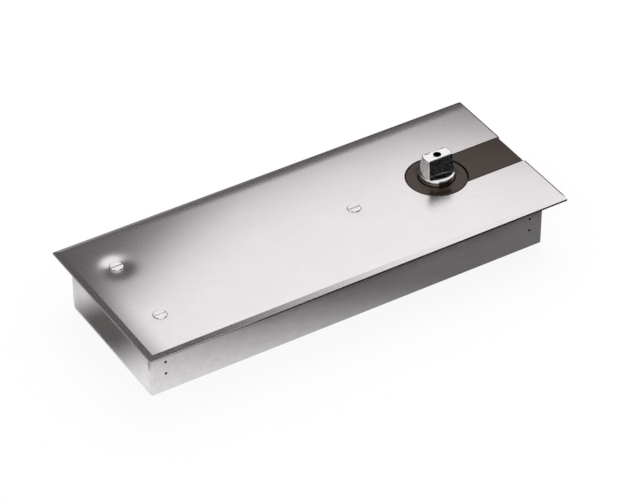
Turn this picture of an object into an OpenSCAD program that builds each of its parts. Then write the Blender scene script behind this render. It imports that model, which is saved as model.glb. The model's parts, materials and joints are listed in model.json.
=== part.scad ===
// Low-profile floor spring door closer.
// A cam-action closer sits in a folded sheet-metal cement box, under a stainless cover
// plate.  The door stands on the tapered spindle at one end.  Turning the spindle turns
// a heart-shaped cam, which pushes a roller carriage away and so draws the piston
// against the closing spring; two needle valves meter the oil on the way back.
// Millimetres.  +X runs along the box towards the spindle, +Z is up, and the origin is
// under the middle of the cover plate, on the underside of the box.

/* [Cement box] */
// Length of the box outside
box_l = 308; // [304:1:330]
// Width of the box outside
box_w = 108; // [108:1:130]
// Height of the box outside
box_h = 40; // [40:0.5:50]
// Thickness of the galvanised sheet
sheet_t = 1.5; // [1:0.1:2]
// Outside radius of the upright folds
fold_r = 2.5; // [2:0.1:4]
// Outside radius of the folds along the floor
floor_fold_r = 1.8; // [1.5:0.1:3]
// How far the cut ends of the long walls stand back from the end walls
long_wall_setback = 1.2; // [1:0.1:1.8]
// Length of the end walls' tabs that lie inside the long walls
tab_l = 18; // [16:1:26]
// Distance of the clinch holes from the box's ends
clinch_inset = 11.2; // [9:0.1:12]
// Height of the lower clinch hole
clinch_z = 15.6; // [12:0.1:18]
// Height from the lower clinch hole to the upper one
clinch_pitch = 9.6; // [6:0.1:14]
// Diameter of the clinch holes
clinch_d = 2; // [1:0.1:3]
// Distance of the anchor holes from the box's ends
anchor_inset = 14; // [12:0.5:15]
// Distance of the anchor holes from the box's sides
anchor_side_inset = 10; // [8:0.5:12]
// Diameter of the anchor holes in the box floor
anchor_d = 8; // [5:0.5:9]

/* [Cover plate] */
// Thickness of the cover plate
plate_t = 3; // [2.8:0.1:4]
// How far the plate reaches past the box at the plain end
overhang_plain = 6.3; // [5:0.1:14]
// How far the plate reaches past the box at the spindle end
overhang_spindle = 10.7; // [6:0.1:16]
// How far the plate reaches past the box on the long sides
overhang_side = 12; // [6:0.5:16]
// Width of the bevelled rim
rim_w = 3.8; // [1:0.1:5]
// Drop of the bevelled rim
rim_drop = 1.5; // [0.5:0.1:2.2]
// Width of the small bevel at the spindle end
end_rim_w = 1.5; // [0.5:0.1:2]
// Width of the slot from the rosette to the spindle end
slot_w = 31.8; // [26:0.1:36]
// Distance of the end screws from the plain end of the box
end_screw_inset = 21.7; // [18:0.1:23]
// Distance of the end screws from the centre line
end_screw_y = 29.2; // [26:0.1:34]
// Distance of the middle screw from the spindle
middle_screw_reach = 66.7; // [62:0.1:72]
// Thread diameter of the cover screws
cover_screw_d = 5; // [4:0.1:6]
// Head diameter of the cover screws
cover_head_d = 9.5; // [8.5:0.1:11]
// Height of the domed top of a cover screw above the plate
cover_head_dome = 0.7; // [0.3:0.1:1.2]
// Width of a screwdriver slot
driver_slot = 1.1; // [0.6:0.1:1.6]

/* [Rosette and slot insert] */
// Hole in the plate for the rosette
rosette_hole_d = 43.8; // [40:0.1:46]
// Clearance of the rosette and the insert in the plate
trim_gap = 0.5; // [0.1:0.05:0.7]
// Distance of the insert's end from the end of the plate
insert_inset = 1.8; // [0:0.1:3]
// Thickness of the flanges that lie under the plate
trim_flange_t = 1.2; // [0.8:0.1:1.6]
// How far the flanges reach under the plate
trim_flange_w = 2; // [1:0.1:3]
// Rise of the rosette from its edge to its inner lip
rosette_rise = 1.3; // [0.5:0.1:2]
// Clearance around the spindle in the rosette
rosette_bore_gap = 0.5; // [0.3:0.05:1]

/* [Spindle] */
// Distance of the spindle axis from the box's end
spindle_inset = 52.3; // [50:0.1:60]
// Diameter of the round base of the spindle
base_d = 25; // [24:0.1:27]
// Height of the round base above the plate
base_proud = 4.8; // [3.5:0.1:8]
// Diameter of the taper at its foot
taper_foot_d = 24; // [21:0.1:24.6]
// Diameter of the taper at its top
taper_top_d = 20.8; // [18:0.1:22]
// Height of the taper
taper_h = 14.4; // [12:0.1:25]
// Width across the two flats at the foot of the taper
flats_foot_w = 13.4; // [12:0.1:15]
// Width across the two flats at the top of the taper
flats_top_w = 9.2; // [8.6:0.1:11]
// Diameter of the hole for the door arm's screw
arm_hole_d = 5.4; // [4:0.1:6]
// Depth of the hole for the door arm's screw
arm_hole_depth = 16; // [8:0.5:20]
// Depth of the countersink at the hole's mouth
arm_hole_sink = 0.4; // [0.2:0.1:1.2]
// Diameter of the upper journal
journal_d = 20; // [19:0.1:21]
// Diameter of the seat that carries the cam
cam_seat_d = 17; // [15:0.1:17.4]
// Diameter of the lower journal
foot_journal_d = 14; // [12:0.1:14.5]
// Angle that the door opens to
spindle_turn = 130; // [90:1:135]

/* [Cam and carriage] */
// Thickness of the cam
cam_t = 10; // [8:0.1:10.4]
// Distance from spindle to roller with the door shut
roller_reach = 19; // [18.6:0.1:20]
// Radius of the cam roller
roller_r = 7; // [6:0.1:7.2]
// Clearance between the cam and the roller
cam_gap = 0.3; // [0.1:0.05:0.4]
// Travel of the carriage when the door is fully open
carriage_stroke = 12; // [8:0.1:12.4]
// Thickness of each carriage plate
carriage_plate_t = 3; // [2.5:0.1:3.1]
// Width of the carriage plates
carriage_w = 30; // [28:0.5:31]
// Diameter of the roller pin
roller_pin_d = 6; // [5:0.1:7]
// Length of the crosshead
crosshead_l = 10; // [8:0.5:11]
// Diameter of the crosshead rivets
rivet_d = 5; // [3:0.1:6]
// Diameter of the pull rod
rod_d = 10; // [8:0.1:11]
// Side of the cam key
key_w = 4; // [3:0.1:5]
// Axial and side clearance of parts that move past each other
slide_gap = 0.6; // [0.3:0.05:0.7]
// Radial clearance of a running or sliding fit
fit = 0.04; // [0.02:0.01:0.08]

/* [Closer body] */
// Height of the body's underside above the floor of the box
body_lift = 2.5; // [2:0.1:3]
// Length of the head that holds the cam
head_l = 92; // [92:0.5:94]
// Width of the head
head_w = 66; // [66:0.5:72]
// Corner radius of the head
head_r = 12; // [8:0.5:14]
// Distance from the top of the head up to the top of the box
lid_recess = 5.5; // [5.5:0.1:6.5]
// Thickness of the floor of the cam chamber
chamber_floor_t = 4.5; // [4:0.1:4.8]
// Clearance between the barrel and the cover plate
barrel_top_gap = 4.2; // [3.4:0.1:5]
// Thickness of the barrel's wall
barrel_wall = 3; // [2.5:0.1:3.5]
// Distance from the barrel's end to the plain end of the box
barrel_end_gap = 29.2; // [27.5:0.1:33]
// Thickness of the wall between the cam chamber and the spring bore
bulkhead_t = 6; // [4:0.5:8]
// How far the ribs stand out of the barrel
rib_h = 1.6; // [0.6:0.1:1.8]
// Number of ribs around the barrel
rib_n = 5; // [3:1:7]
// Width of the keel under the barrel
keel_w = 16; // [10:0.5:20]
// Diameter of the mounting screws
mount_screw_d = 6; // [5:0.1:6.4]
// Distance of the spindle-end ears from the spindle along the box
ear_x_head = 22; // [16:0.5:24]
// Distance of the far ears from the barrel's end
ear_inset_far = 82; // [76:0.5:88]
// Distance of the far ears from the centre line
ear_y_far = 34; // [31:0.5:38]
// Thickness of the ears
ear_t = 5; // [4:0.5:6]
// Thickness of the cover's flange
lid_t = 3; // [2.6:0.1:3.1]
// Thickness of the gasket under the cover
gasket_t = 0.5; // [0.3:0.1:0.7]
// Thread diameter of the cover's screws
lid_screw_d = 4; // [3:0.1:4.5]

/* [Piston, spring and valves] */
// Length of the piston
piston_l = 20; // [18:0.5:22]
// Distance from the barrel's end to the piston's inner face with the door shut
piston_inset = 43; // [41.5:0.5:46]
// Wire diameter of the closing spring
wire_d = 4.2; // [3:0.1:4.4]
// Number of turns of the closing spring
spring_turns = 12; // [8:1:14]
// Length of the end plug
plug_l = 18; // [14:0.5:19]
// Diameter of a regulating valve
valve_d = 7; // [6:0.1:8]
// Distance from the barrel's end to the closing valve
closing_valve_inset = 31; // [29.5:0.5:32]
// Distance from the barrel's end to the latching valve
latching_valve_inset = 20.5; // [19.5:0.5:21]
// Distance of the valves from the centre line
valve_y = 21; // [20.5:0.1:22]
// Diameter of the oil ports and the gallery
port_d = 2.4; // [1.6:0.1:3]

/* [Hidden] */
$fn = 64;
e = 0.5;                                   // overshoot of a cut past a face

// Plan: the plate is centred on the origin, the box sits off centre under it.
plate_l = box_l + overhang_plain + overhang_spindle;
plate_w = box_w + 2 * overhang_side;
plate_x1 = plate_l / 2;
box_x0 = overhang_plain - plate_x1;
box_x1 = box_x0 + box_l;
box_cx = (box_x0 + box_x1) / 2;
spindle_x = box_x1 - spindle_inset;
plate_top = box_h + plate_t;
end_screw_x = box_x0 + end_screw_inset;
anchor_y = box_w / 2 - anchor_side_inset;
middle_screw_x = spindle_x - middle_screw_reach;
screw_places = [[end_screw_x, end_screw_y], [end_screw_x, -end_screw_y], [middle_screw_x, 0]];
head_sink = (cover_head_d - cover_screw_d) / 2;      // depth of a 90 degree countersink
screw_l = 5;                                          // cover screw below the plate
screw_hole_depth = screw_l + 0.6;
tab_h = box_h - 6 * sheet_t;

// Heights inside the box.
body_z0 = sheet_t + body_lift;
head_top = box_h - lid_recess;
head_h = head_top - body_z0;
barrel_lift = 0.8;
barrel_r = (box_h - barrel_top_gap - body_z0 - barrel_lift) / 2;
barrel_z = body_z0 + barrel_lift + barrel_r;
bore_d = 2 * (barrel_r - barrel_wall);
chamber_z0 = body_z0 + chamber_floor_t;
lid_z0 = head_top + gasket_t;
neck_top = box_h - trim_flange_t;
cam_z0 = barrel_z - cam_t / 2;
cam_z1 = barrel_z + cam_t / 2;
plate_lo_z = cam_z0 - slide_gap - carriage_plate_t;
plate_hi_z = cam_z1 + slide_gap;
carriage_top = plate_hi_z + carriage_plate_t;
foot_boss_top = plate_lo_z - slide_gap;
hub_z0 = carriage_top + slide_gap;
bush_wall = 3;
disc_t = 0.6;
disc_z0 = body_z0 + 1.6;
spindle_z0 = disc_z0 + disc_t;
base_top = plate_top + base_proud;
spindle_top = base_top + taper_h;
base_z0 = neck_top + 0.3;
seal_h = 3.2;
seal_wall = 5;
seal_z0 = neck_top - 0.3 - seal_h;
foot_bush_r = foot_journal_d / 2 + 2;
lid_top = lid_z0 + lid_t;

// Cam: the roller's lift is in proportion to the angle, and eases off past full opening.
cam_rate = carriage_stroke / spindle_turn;
cam_slope = cam_rate * 180 / PI;
ease_from = spindle_turn + 2;
ease_to = ease_from + 18;
offset_r = roller_r + cam_gap;
function cam_lift(a) = a <= ease_from ? cam_rate * a
    : a >= ease_to ? cam_rate * (ease_from + ease_to) / 2
    : cam_rate * (a - pow(a - ease_from, 2) / (2 * (ease_to - ease_from)));
function cam_slope_at(a) = a <= ease_from ? cam_slope
    : a >= ease_to ? 0 : cam_slope * (ease_to - a) / (ease_to - ease_from);
cam_max_r = roller_reach + cam_lift(180) - offset_r;

// Carriage, chamber, head and barrel along X, measured from the spindle axis.
carriage_lead = roller_pin_d / 2 + 2.4;
crosshead_x1 = -(cam_max_r + carriage_stroke / 3 + 2.2);
crosshead_x0 = crosshead_x1 - crosshead_l;
chamber_r = cam_max_r + 1.2;
chamber_x1 = roller_reach + carriage_stroke + roller_r + 1;
chamber_x0 = crosshead_x0 - 1.6;
chamber_half_w = carriage_w / 2 + 1.4;
head_x1 = chamber_x1 + 4.6;
head_x0 = head_x1 - head_l;
bore_x1 = chamber_x0 - bulkhead_t;
barrel_reach = box_l - spindle_inset - barrel_end_gap;
closing_valve_reach = barrel_reach - closing_valve_inset;
latching_valve_reach = barrel_reach - latching_valve_inset;
piston_x1 = piston_inset - barrel_reach;
piston_x0 = piston_x1 - piston_l;
barrel_x0 = -barrel_reach;
plug_x0 = barrel_x0 + 0.5;
plug_x1 = plug_x0 + plug_l;
plug_seal_d = 1.7;
plug_groove_w = 2.6;
plug_groove_depth = 1.8;
plug_groove_x = plug_x1 - 2.9 - plug_groove_w;
plug_socket_af = 12;
plug_socket_depth = 9;
collar_r = barrel_r + 1.4;
collar_l = plug_l + 4;
rod_x0 = piston_x0 + 0.8;
rod_neck_r = rod_d / 2 - 1.5;
nut_t = 4;
nut_af = 13;
ring_w = 2.4;
ring_depth = 1.6;
ring_x0 = piston_x0 + 12;
check_y = bore_d / 2 - 3.7;
check_r = 1.7;
check_seat_x = piston_x0 + 15;
ball_r = 1.5;
spring_gap = 0.3;
spring_x0 = piston_x1 + spring_gap;
spring_l = bore_x1 - spring_gap - spring_x0;
spring_r = bore_d / 2 - 0.9 - wire_d / 2;
block_y1 = valve_y + valve_d / 2 + 3.6;
block_x0 = -latching_valve_reach - 12;
block_x1 = piston_x1 + carriage_stroke + 8;
block_rise = 12.7;
block_top = barrel_z + block_rise;
gallery_z = barrel_z - 7;
valve_port_z = barrel_z - 1;
valve_tip_z = valve_port_z + port_d / 2 + 0.4;
valve_seal_d = 1.6;
valve_seal_z = barrel_z + 6;
lid_neck_r = 18;
hub_r = journal_d / 2 + bush_wall + 3;
lid_seat_gap = 0.4;
lid_screw_inset = 5.6;
lid_grip = 9;
lid_screw_l = lid_t + gasket_t + lid_grip;
lid_thread_l = lid_screw_l + 3;
lid_wall = 2.6;
lid_ring_r = chamber_r + lid_wall + lid_screw_d / 2;
lid_head_h = 1.6;
filler_r = 4;
filler_head_r = 5.5;
filler_socket = 4;
lid_hole_x = [head_x0 + lid_screw_inset, head_x0 + head_l * 0.36, head_x0 + head_l * 0.68,
    head_x1 - lid_screw_inset - 2];
lid_hole_y = head_w / 2 - lid_screw_inset - 3;
lid_places = concat(
    [for (x = [lid_hole_x[0], lid_hole_x[3]], s = [-1, 1]) [x, s * lid_hole_y]],
    [for (x = [lid_hole_x[1], lid_hole_x[2]], s = [-1, 1]) [x, s * sqrt(pow(lid_ring_r, 2) - x * x)]]);
ear_z0 = body_z0 + 3;
ear_r = mount_screw_d / 2 + 4;
ear_slot = 4;
ear_x_far = barrel_reach - ear_inset_far;
ear_y_head = (head_w / 2 + box_w / 2 - sheet_t) / 2;   // midway between head and box wall
washer_t = 1.2;
boss_r = mount_screw_d / 2 + 4;
pillar_r = cover_screw_d;
pad_r = cover_screw_d + 1;
rivet_inset = 5;
retainer_l = 2.4;
ear_places = [for (s = [-1, 1]) each [[ear_x_head, s * ear_y_head], [-ear_x_far, s * ear_y_far]]];

// Spring: its wire has few sides, and one turn is closed at each end.
dead_turns = 1;
ring_steps = 14;
section_sides = 7;

// ---------- helpers ----------

// A rectangle with round corners, made only of squares and circles.
module rounded_rect(l, w, r) {
    square([l - 2 * r, w], center = true);
    square([l, w - 2 * r], center = true);
    for (x = [-1, 1], y = [-1, 1])
        translate([x * (l / 2 - r), y * (w / 2 - r)]) circle(r);
}

module at_spindle() { translate([spindle_x, 0, 0]) children(); }

// A cylinder along +X from x0, centred on the barrel's axis.
module along_x(x0, l, r) {
    translate([x0, 0, barrel_z]) rotate([0, 90, 0]) cylinder(h = l, r = r);
}

// An upright cylinder from z0 to z1.
module post(r, z0, z1) { translate([0, 0, z0]) cylinder(h = z1 - z0, r = r); }

// A flat ring from z0 to z1.
module ring(r_out, r_in, z0, z1) {
    difference() {
        post(r_out, z0, z1);
        post(r_in, z0 - e, z1 + e);
    }
}

// A straight screwdriver slot along X, cut down from z.
module driver_cut(l, depth, z) {
    translate([-l / 2, -driver_slot / 2, z - depth]) cube([l, driver_slot, depth + 2 * e]);
}

// ---------- cement box ----------

// Outline from above: the long walls lie outside the end walls' tabs and stop short of
// the upright folds.
module box_outline() {
    rounded_rect(box_l, box_w - 2 * sheet_t, fold_r);
    square([box_l - 2 * long_wall_setback, box_w], center = true);
}

// Profile of the floor and two walls: a rectangle whose lower corners are rounded.
module folded_profile(w) {
    hull() {
        translate([-w / 2, floor_fold_r]) square([w, box_h - floor_fold_r]);
        for (x = [-1, 1]) translate([x * (w / 2 - floor_fold_r), floor_fold_r]) circle(floor_fold_r);
    }
}

module cement_box() {
    inner_l = box_l - 2 * sheet_t;
    inner_w = box_w - 2 * sheet_t;
    color([0.78, 0.78, 0.79]) difference() {
        translate([box_cx, 0, 0]) difference() {
            intersection() {
                linear_extrude(box_h) box_outline();
                translate([-box_l / 2, 0, 0]) rotate([90, 0, 90]) linear_extrude(box_l)
                    folded_profile(box_w);
                translate([0, box_w / 2, 0]) rotate([90, 0, 0]) linear_extrude(box_w)
                    folded_profile(box_l);
            }
            difference() {
                translate([0, 0, sheet_t]) linear_extrude(box_h) {
                    rounded_rect(inner_l, inner_w - 2 * sheet_t, fold_r - sheet_t);
                    square([box_l - 2 * fold_r, inner_w], center = true);
                }
                for (x = [-1, 1], y = [-1, 1])
                    translate([x * (inner_l - tab_l) / 2, y * (inner_w - sheet_t) / 2,
                        box_h / 2 + sheet_t]) cube([tab_l, sheet_t, tab_h], center = true);
            }
        }
        for (x = [box_x0 + clinch_inset, box_x1 - clinch_inset],
             z = [clinch_z, clinch_z + clinch_pitch])
            translate([x, 0, z]) rotate([90, 0, 0])
                cylinder(h = box_w + 2 * e, d = clinch_d, center = true);
        for (x = [box_x0 + anchor_inset, box_x1 - anchor_inset], y = [-1, 1])
            translate([x, y * anchor_y, -e]) cylinder(h = sheet_t + 2 * e, d = anchor_d);
    }
}

module floor_bosses() {
    color([0.7, 0.7, 0.72]) at_spindle() for (p = ear_places)
        translate(p) ring(boss_r, mount_screw_d / 2 + fit, sheet_t, ear_z0);
}

module cover_pillars() {
    color([0.7, 0.7, 0.72]) for (s = [-1, 1])
        translate([end_screw_x, s * end_screw_y, 0]) difference() {
            post(pillar_r, sheet_t, box_h);
            post(cover_screw_d / 2 + fit, box_h - screw_hole_depth, box_h + e);
        }
}

// ---------- closer body ----------

module head_plan(grow) {
    translate([(head_x0 + head_x1) / 2, 0])
        rounded_rect(head_l + 2 * grow, head_w + 2 * grow, head_r + grow);
}

module chamber_plan() {
    circle(chamber_r);
    translate([(chamber_x0 + chamber_x1) / 2, 0])
        rounded_rect(chamber_x1 - chamber_x0, 2 * chamber_half_w, 6);
}

// Ears with slots across the box, joined to the casting by tapering webs.
module ear_plan(reach_x, reach_y, inner_y) {
    s = sign(reach_y);
    translate([reach_x, reach_y]) circle(ear_r);
    polygon([[reach_x - ear_r, reach_y], [reach_x + ear_r, reach_y],
        [reach_x + ear_r + 4, s * inner_y], [reach_x - ear_r - 4, s * inner_y]]);
}

module ear_slot_cut() {
    for (y = [-1, 1]) translate([0, y * ear_slot / 2, ear_z0 - e])
        cylinder(h = ear_t + 2 * e, d = mount_screw_d + 0.6);
    translate([-(mount_screw_d + 0.6) / 2, -ear_slot / 2, ear_z0 - e])
        cube([mount_screw_d + 0.6, ear_slot, ear_t + 2 * e]);
}

module body_solid() {
    translate([0, 0, body_z0]) linear_extrude(head_h) head_plan(0);
    along_x(barrel_x0, head_x0 - barrel_x0 + 2, barrel_r);
    along_x(barrel_x0, collar_l, collar_r);
    translate([barrel_x0, -keel_w / 2, body_z0])
        cube([head_x0 - barrel_x0 + 2, keel_w, barrel_z - body_z0]);
    for (i = [1 : rib_n])
        along_x(barrel_x0 + collar_l + i * (head_x0 - barrel_x0 - collar_l) / (rib_n + 1),
            3, barrel_r + rib_h);
    translate([0, 0, ear_z0]) linear_extrude(ear_t) {
        for (s = [-1, 1]) {
            ear_plan(ear_x_head, s * ear_y_head, head_w / 2 - 6);
            ear_plan(-ear_x_far, s * ear_y_far, keel_w / 2 - 2);
        }
    }
    translate([block_x0, 0, body_z0 + 4])
        cube([block_x1 - block_x0, block_y1, block_top - body_z0 - 4]);
    translate([middle_screw_x - spindle_x, 0, 0]) post(pad_r, barrel_z, box_h);
}

module body_cuts() {
    translate([0, 0, chamber_z0]) linear_extrude(head_h) chamber_plan();
    along_x(barrel_x0 - e, bore_x1 - barrel_x0 + e, bore_d / 2);
    along_x(bore_x1 - e, bulkhead_t + 2 * e, rod_d / 2 + 2);
    for (s = [-1, 1]) translate([bore_x1 - e, s * (rod_d / 2 + 4), barrel_z])
        rotate([0, 90, 0]) cylinder(h = bulkhead_t + 2 * e, d = 2.4);
    translate([head_x0 - lid_seat_gap, -head_w, head_top]) cube([head_l + 2, 2 * head_w, box_h]);
    lid_holes(lid_top - lid_thread_l, head_top + e, lid_screw_d + 2 * fit);
    for (p = ear_places) translate([p.x, p.y, 0]) ear_slot_cut();
    translate([middle_screw_x - spindle_x, 0, 0])
        post(cover_screw_d / 2 + fit, box_h - screw_hole_depth, box_h + e);
    // Valve bores, the gallery behind them and their ports into the spring bore.
    for (x = [-closing_valve_reach, -latching_valve_reach]) {
        translate([x, valve_y, 0]) post(valve_d / 2 + fit, valve_tip_z, block_top + e);
        translate([x, valve_y, 0]) post(port_d / 2, gallery_z, valve_tip_z + e);
        translate([x, 0, valve_port_z]) rotate([-90, 0, 0]) cylinder(h = valve_y, d = port_d);
    }
    translate([block_x0 - e, valve_y, gallery_z]) rotate([0, 90, 0])
        cylinder(h = block_x1 - block_x0 - 4, d = port_d);
    translate([block_x1 - 6, 0, gallery_z]) rotate([-90, 0, 0]) cylinder(h = valve_y, d = port_d);
    translate([block_x0 - e, valve_y, gallery_z]) rotate([0, 90, 0])
        cylinder(h = 6 + e, d = port_d + 2.6 + 2 * fit);
    post(foot_bush_r + fit, disc_z0, chamber_z0 + 2 * e);
}

module closer_body() {
    color([0.36, 0.38, 0.4]) at_spindle() difference() {
        intersection() {
            union() {
                difference() {
                    body_solid();
                    body_cuts();
                }
                // Raised boss around the lower bush.
                difference() {
                    post(foot_bush_r + 2.4, chamber_z0 - e, foot_boss_top);
                    post(foot_bush_r + fit, chamber_z0 - 2 * e, foot_boss_top + e);
                }
            }
            translate([barrel_x0, -box_w / 2, body_z0]) cube([box_l, box_w, box_h]);
        }
    }
}

module mounting_screws() {
    head_z = ear_z0 + ear_t + washer_t;
    color([0.25, 0.25, 0.27]) at_spindle() for (p = ear_places)
        translate([p.x, p.y, 0]) difference() {
            union() {
                post(mount_screw_d / 2, sheet_t + 0.6, head_z + e);
                post(mount_screw_d * 0.8, head_z, head_z + mount_screw_d);
            }
            translate([0, 0, head_z + mount_screw_d / 2])
                cylinder(h = mount_screw_d, d = mount_screw_d, $fn = 6);
        }
}

module mounting_washers() {
    color([0.7, 0.7, 0.72]) at_spindle() for (p = ear_places)
        translate([p.x, p.y, 0]) ring(ear_r - 1.4, mount_screw_d / 2 + 0.2, ear_z0 + ear_t,
            ear_z0 + ear_t + washer_t);
}

// ---------- lid of the body ----------

module lid_holes(z0, z1, d) { for (p = lid_places) translate([p.x, p.y, 0]) post(d / 2, z0, z1); }

module lid_gasket() {
    color([0.15, 0.25, 0.2]) at_spindle() difference() {
        translate([0, 0, head_top]) linear_extrude(gasket_t) difference() {
            head_plan(0);
            chamber_plan();
        }
        lid_holes(head_top - e, lid_z0 + e, lid_screw_d + 0.4);
    }
}

module body_lid() {
    color([0.44, 0.46, 0.48]) at_spindle() difference() {
        union() {
            translate([0, 0, lid_z0]) linear_extrude(lid_t) head_plan(0);
            post(hub_r, hub_z0, lid_z0 + e);
            post(lid_neck_r, lid_z0 + e, neck_top);
        }
        post(journal_d / 2 + bush_wall + fit, hub_z0 - e, seal_z0 - 0.4);
        post(journal_d / 2 + 0.5, hub_z0 - e, neck_top + e);
        post(journal_d / 2 + seal_wall + fit, seal_z0, neck_top + e);
        lid_holes(lid_z0 - e, lid_top + e, lid_screw_d + 0.4);
        translate([crosshead_x1, 0, 0]) post(filler_r + fit, lid_z0 - e, lid_top + e);
    }
}

module lid_screws() {
    color([0.25, 0.25, 0.27]) at_spindle() for (p = lid_places)
        translate([p.x, p.y, 0]) difference() {
            union() {
                post(lid_screw_d / 2, lid_top - lid_screw_l, lid_top + 0.2);
                post(lid_screw_d * 0.85, lid_top, lid_top + lid_head_h);
            }
            translate([0, 0, lid_top + lid_head_h / 4])
                cylinder(h = lid_head_h, d = lid_screw_d * 0.65, $fn = 6);
        }
}

module filler_plug() {
    color([0.3, 0.3, 0.32]) at_spindle() translate([crosshead_x1, 0, 0]) difference() {
        union() {
            post(filler_r, lid_z0 + 0.2, lid_top + 0.2);
            post(filler_head_r, lid_top, lid_top + 1);
        }
        translate([0, 0, lid_top - 1.4]) cylinder(h = lid_t, d = filler_socket, $fn = 6);
    }
}

module gallery_plug() {
    color([0.3, 0.3, 0.32]) at_spindle() translate([block_x0 + 0.4, valve_y, gallery_z])
        rotate([0, 90, 0]) difference() {
            cylinder(h = 5, d = port_d + 2.6);
            translate([0, 0, -e]) cylinder(h = 2.5, d = 2.4, $fn = 6);
        }
}

// ---------- bearings and seals ----------

module lower_bush() {
    color([0.72, 0.55, 0.28]) at_spindle()
        ring(foot_bush_r, foot_journal_d / 2 + fit, spindle_z0, foot_boss_top);
}

module thrust_disc() {
    color([0.6, 0.6, 0.62]) at_spindle() post(foot_bush_r - 0.2, disc_z0, disc_z0 + disc_t);
}

module upper_bush() {
    color([0.72, 0.55, 0.28]) at_spindle()
        ring(journal_d / 2 + bush_wall, journal_d / 2 + fit, hub_z0, seal_z0 - 0.5);
}

// Lip seal: a stiff outer shell, a groove on the upper face and the lip on the journal.
module spindle_seal() {
    r = journal_d / 2;
    color([0.12, 0.12, 0.13]) at_spindle() translate([0, 0, seal_z0 + 0.1]) rotate_extrude()
        polygon([[r + 0.3, 0], [r + seal_wall, 0], [r + seal_wall, seal_h], [r + 3.4, seal_h],
            [r + 2.8, seal_h - 1.4], [r + 1.6, seal_h - 1.4], [r + 1, seal_h], [r + 0.6, seal_h],
            [r + 0.1, seal_h / 2]]);
}

module rod_bush() {
    color([0.72, 0.55, 0.28]) at_spindle() difference() {
        along_x(bore_x1, bulkhead_t, rod_d / 2 + 2 - fit);
        along_x(bore_x1 - e, bulkhead_t + 2 * e, rod_d / 2 + fit);
    }
}

module end_plug() {
    color([0.5, 0.5, 0.52]) at_spindle() difference() {
        along_x(plug_x0, plug_l, bore_d / 2 - fit);
        along_x(plug_x0 - e, 2 + e, plug_socket_depth);
        translate([plug_x0 - e, 0, barrel_z]) rotate([0, 90, 0])
            cylinder(h = plug_socket_depth + e, d = plug_socket_af, $fn = 6);
        difference() {
            along_x(plug_groove_x, plug_groove_w, bore_d / 2 + e);
            along_x(plug_groove_x - e, plug_groove_w + 2 * e, bore_d / 2 - plug_groove_depth);
        }
    }
}

// A ring of round section around an axis along X.
module o_ring_x(x, r, d) {
    translate([x, 0, barrel_z]) rotate([0, 90, 0]) rotate_extrude() translate([r, 0]) circle(d = d);
}

module end_plug_seal() {
    color([0.1, 0.1, 0.1]) at_spindle() o_ring_x(plug_groove_x + plug_groove_w / 2,
        bore_d / 2 - plug_seal_d / 2 - 0.02, plug_seal_d);
}

// ---------- cover plate and its trim ----------

module plate_blank() {
    lip = plate_t - rim_drop;
    intersection() {
        translate([-plate_l / 2, 0, box_h]) rotate([90, 0, 90]) linear_extrude(plate_l)
            polygon([[-plate_w / 2, 0], [plate_w / 2, 0], [plate_w / 2, lip],
                [plate_w / 2 - rim_w, plate_t], [rim_w - plate_w / 2, plate_t], [-plate_w / 2, lip]]);
        translate([0, plate_w / 2, box_h]) rotate([90, 0, 0]) linear_extrude(plate_w)
            polygon([[-plate_x1, 0], [plate_x1, 0], [plate_x1, plate_t - end_rim_w / 2],
                [plate_x1 - end_rim_w, plate_t], [rim_w - plate_x1, plate_t], [-plate_x1, lip]]);
    }
}

module cover_plate() {
    sink_r = cover_screw_d / 2 + 0.2;
    color([0.86, 0.85, 0.85]) difference() {
        plate_blank();
        at_spindle() {
            post(rosette_hole_d / 2, box_h - e, plate_top + e);
            translate([0, -slot_w / 2, box_h - e]) cube([plate_l, slot_w, plate_t + 2 * e]);
        }
        for (p = screw_places) translate([p.x, p.y, 0]) {
            post(sink_r, box_h - e, plate_top);
            translate([0, 0, plate_top - head_sink]) cylinder(h = head_sink + 0.1,
                r1 = sink_r, r2 = sink_r + head_sink + 0.1);
        }
    }
}

// Slotted oval-head screws: a 90 degree cone, a low dome and the shank.
module cover_screws() {
    r = cover_head_d / 2;
    dome_r = (r * r + pow(cover_head_dome, 2)) / (2 * cover_head_dome);
    color([0.85, 0.85, 0.86]) for (p = screw_places) translate([p.x, p.y, 0]) difference() {
        union() {
            post(cover_screw_d / 2, box_h - screw_l, plate_top - head_sink + 0.2);
            translate([0, 0, plate_top - head_sink])
                cylinder(h = head_sink, r1 = cover_screw_d / 2, r2 = r);
            intersection() {
                translate([0, 0, plate_top + cover_head_dome - dome_r]) sphere(dome_r, $fn = 96);
                post(r, plate_top, plate_top + 2 * cover_head_dome);
            }
        }
        driver_cut(cover_head_d + 1, 1.3, plate_top + cover_head_dome);
    }
}

module slot_insert() {
    w = slot_w - 2 * trim_gap;
    flange_end = box_x1 - sheet_t - spindle_x - 0.5;
    color([0.17, 0.15, 0.14]) at_spindle() difference() {
        union() {
            translate([0, -w / 2, box_h]) cube([plate_x1 - insert_inset - spindle_x, w, plate_t]);
            translate([0, -w / 2 - trim_flange_w, neck_top])
                cube([flange_end, w + 2 * trim_flange_w, trim_flange_t]);
        }
        post(rosette_hole_d / 2 + trim_gap, box_h - e, plate_top + e);
        post(rosette_hole_d / 2 + trim_flange_w + trim_gap, neck_top - e, box_h);
    }
}

// Dished ring round the spindle, with a chamfered edge and a flange under the plate.
module rosette() {
    r_in = base_d / 2 + rosette_bore_gap;
    r_out = rosette_hole_d / 2 - trim_gap;
    rim = 0.8;                             // width of the chamfer on the outer edge
    color([0.17, 0.15, 0.14]) at_spindle() rotate_extrude(convexity = 4) polygon([
        [r_in, neck_top], [r_out + trim_flange_w, neck_top], [r_out + trim_flange_w, box_h],
        [r_out, box_h], [r_out, plate_top - rim], [r_out - rim, plate_top],
        [r_in + 1.4, plate_top + rosette_rise], [r_in + 0.4, plate_top + rosette_rise],
        [r_in, plate_top + rosette_rise - 0.4]]);
}

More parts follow.
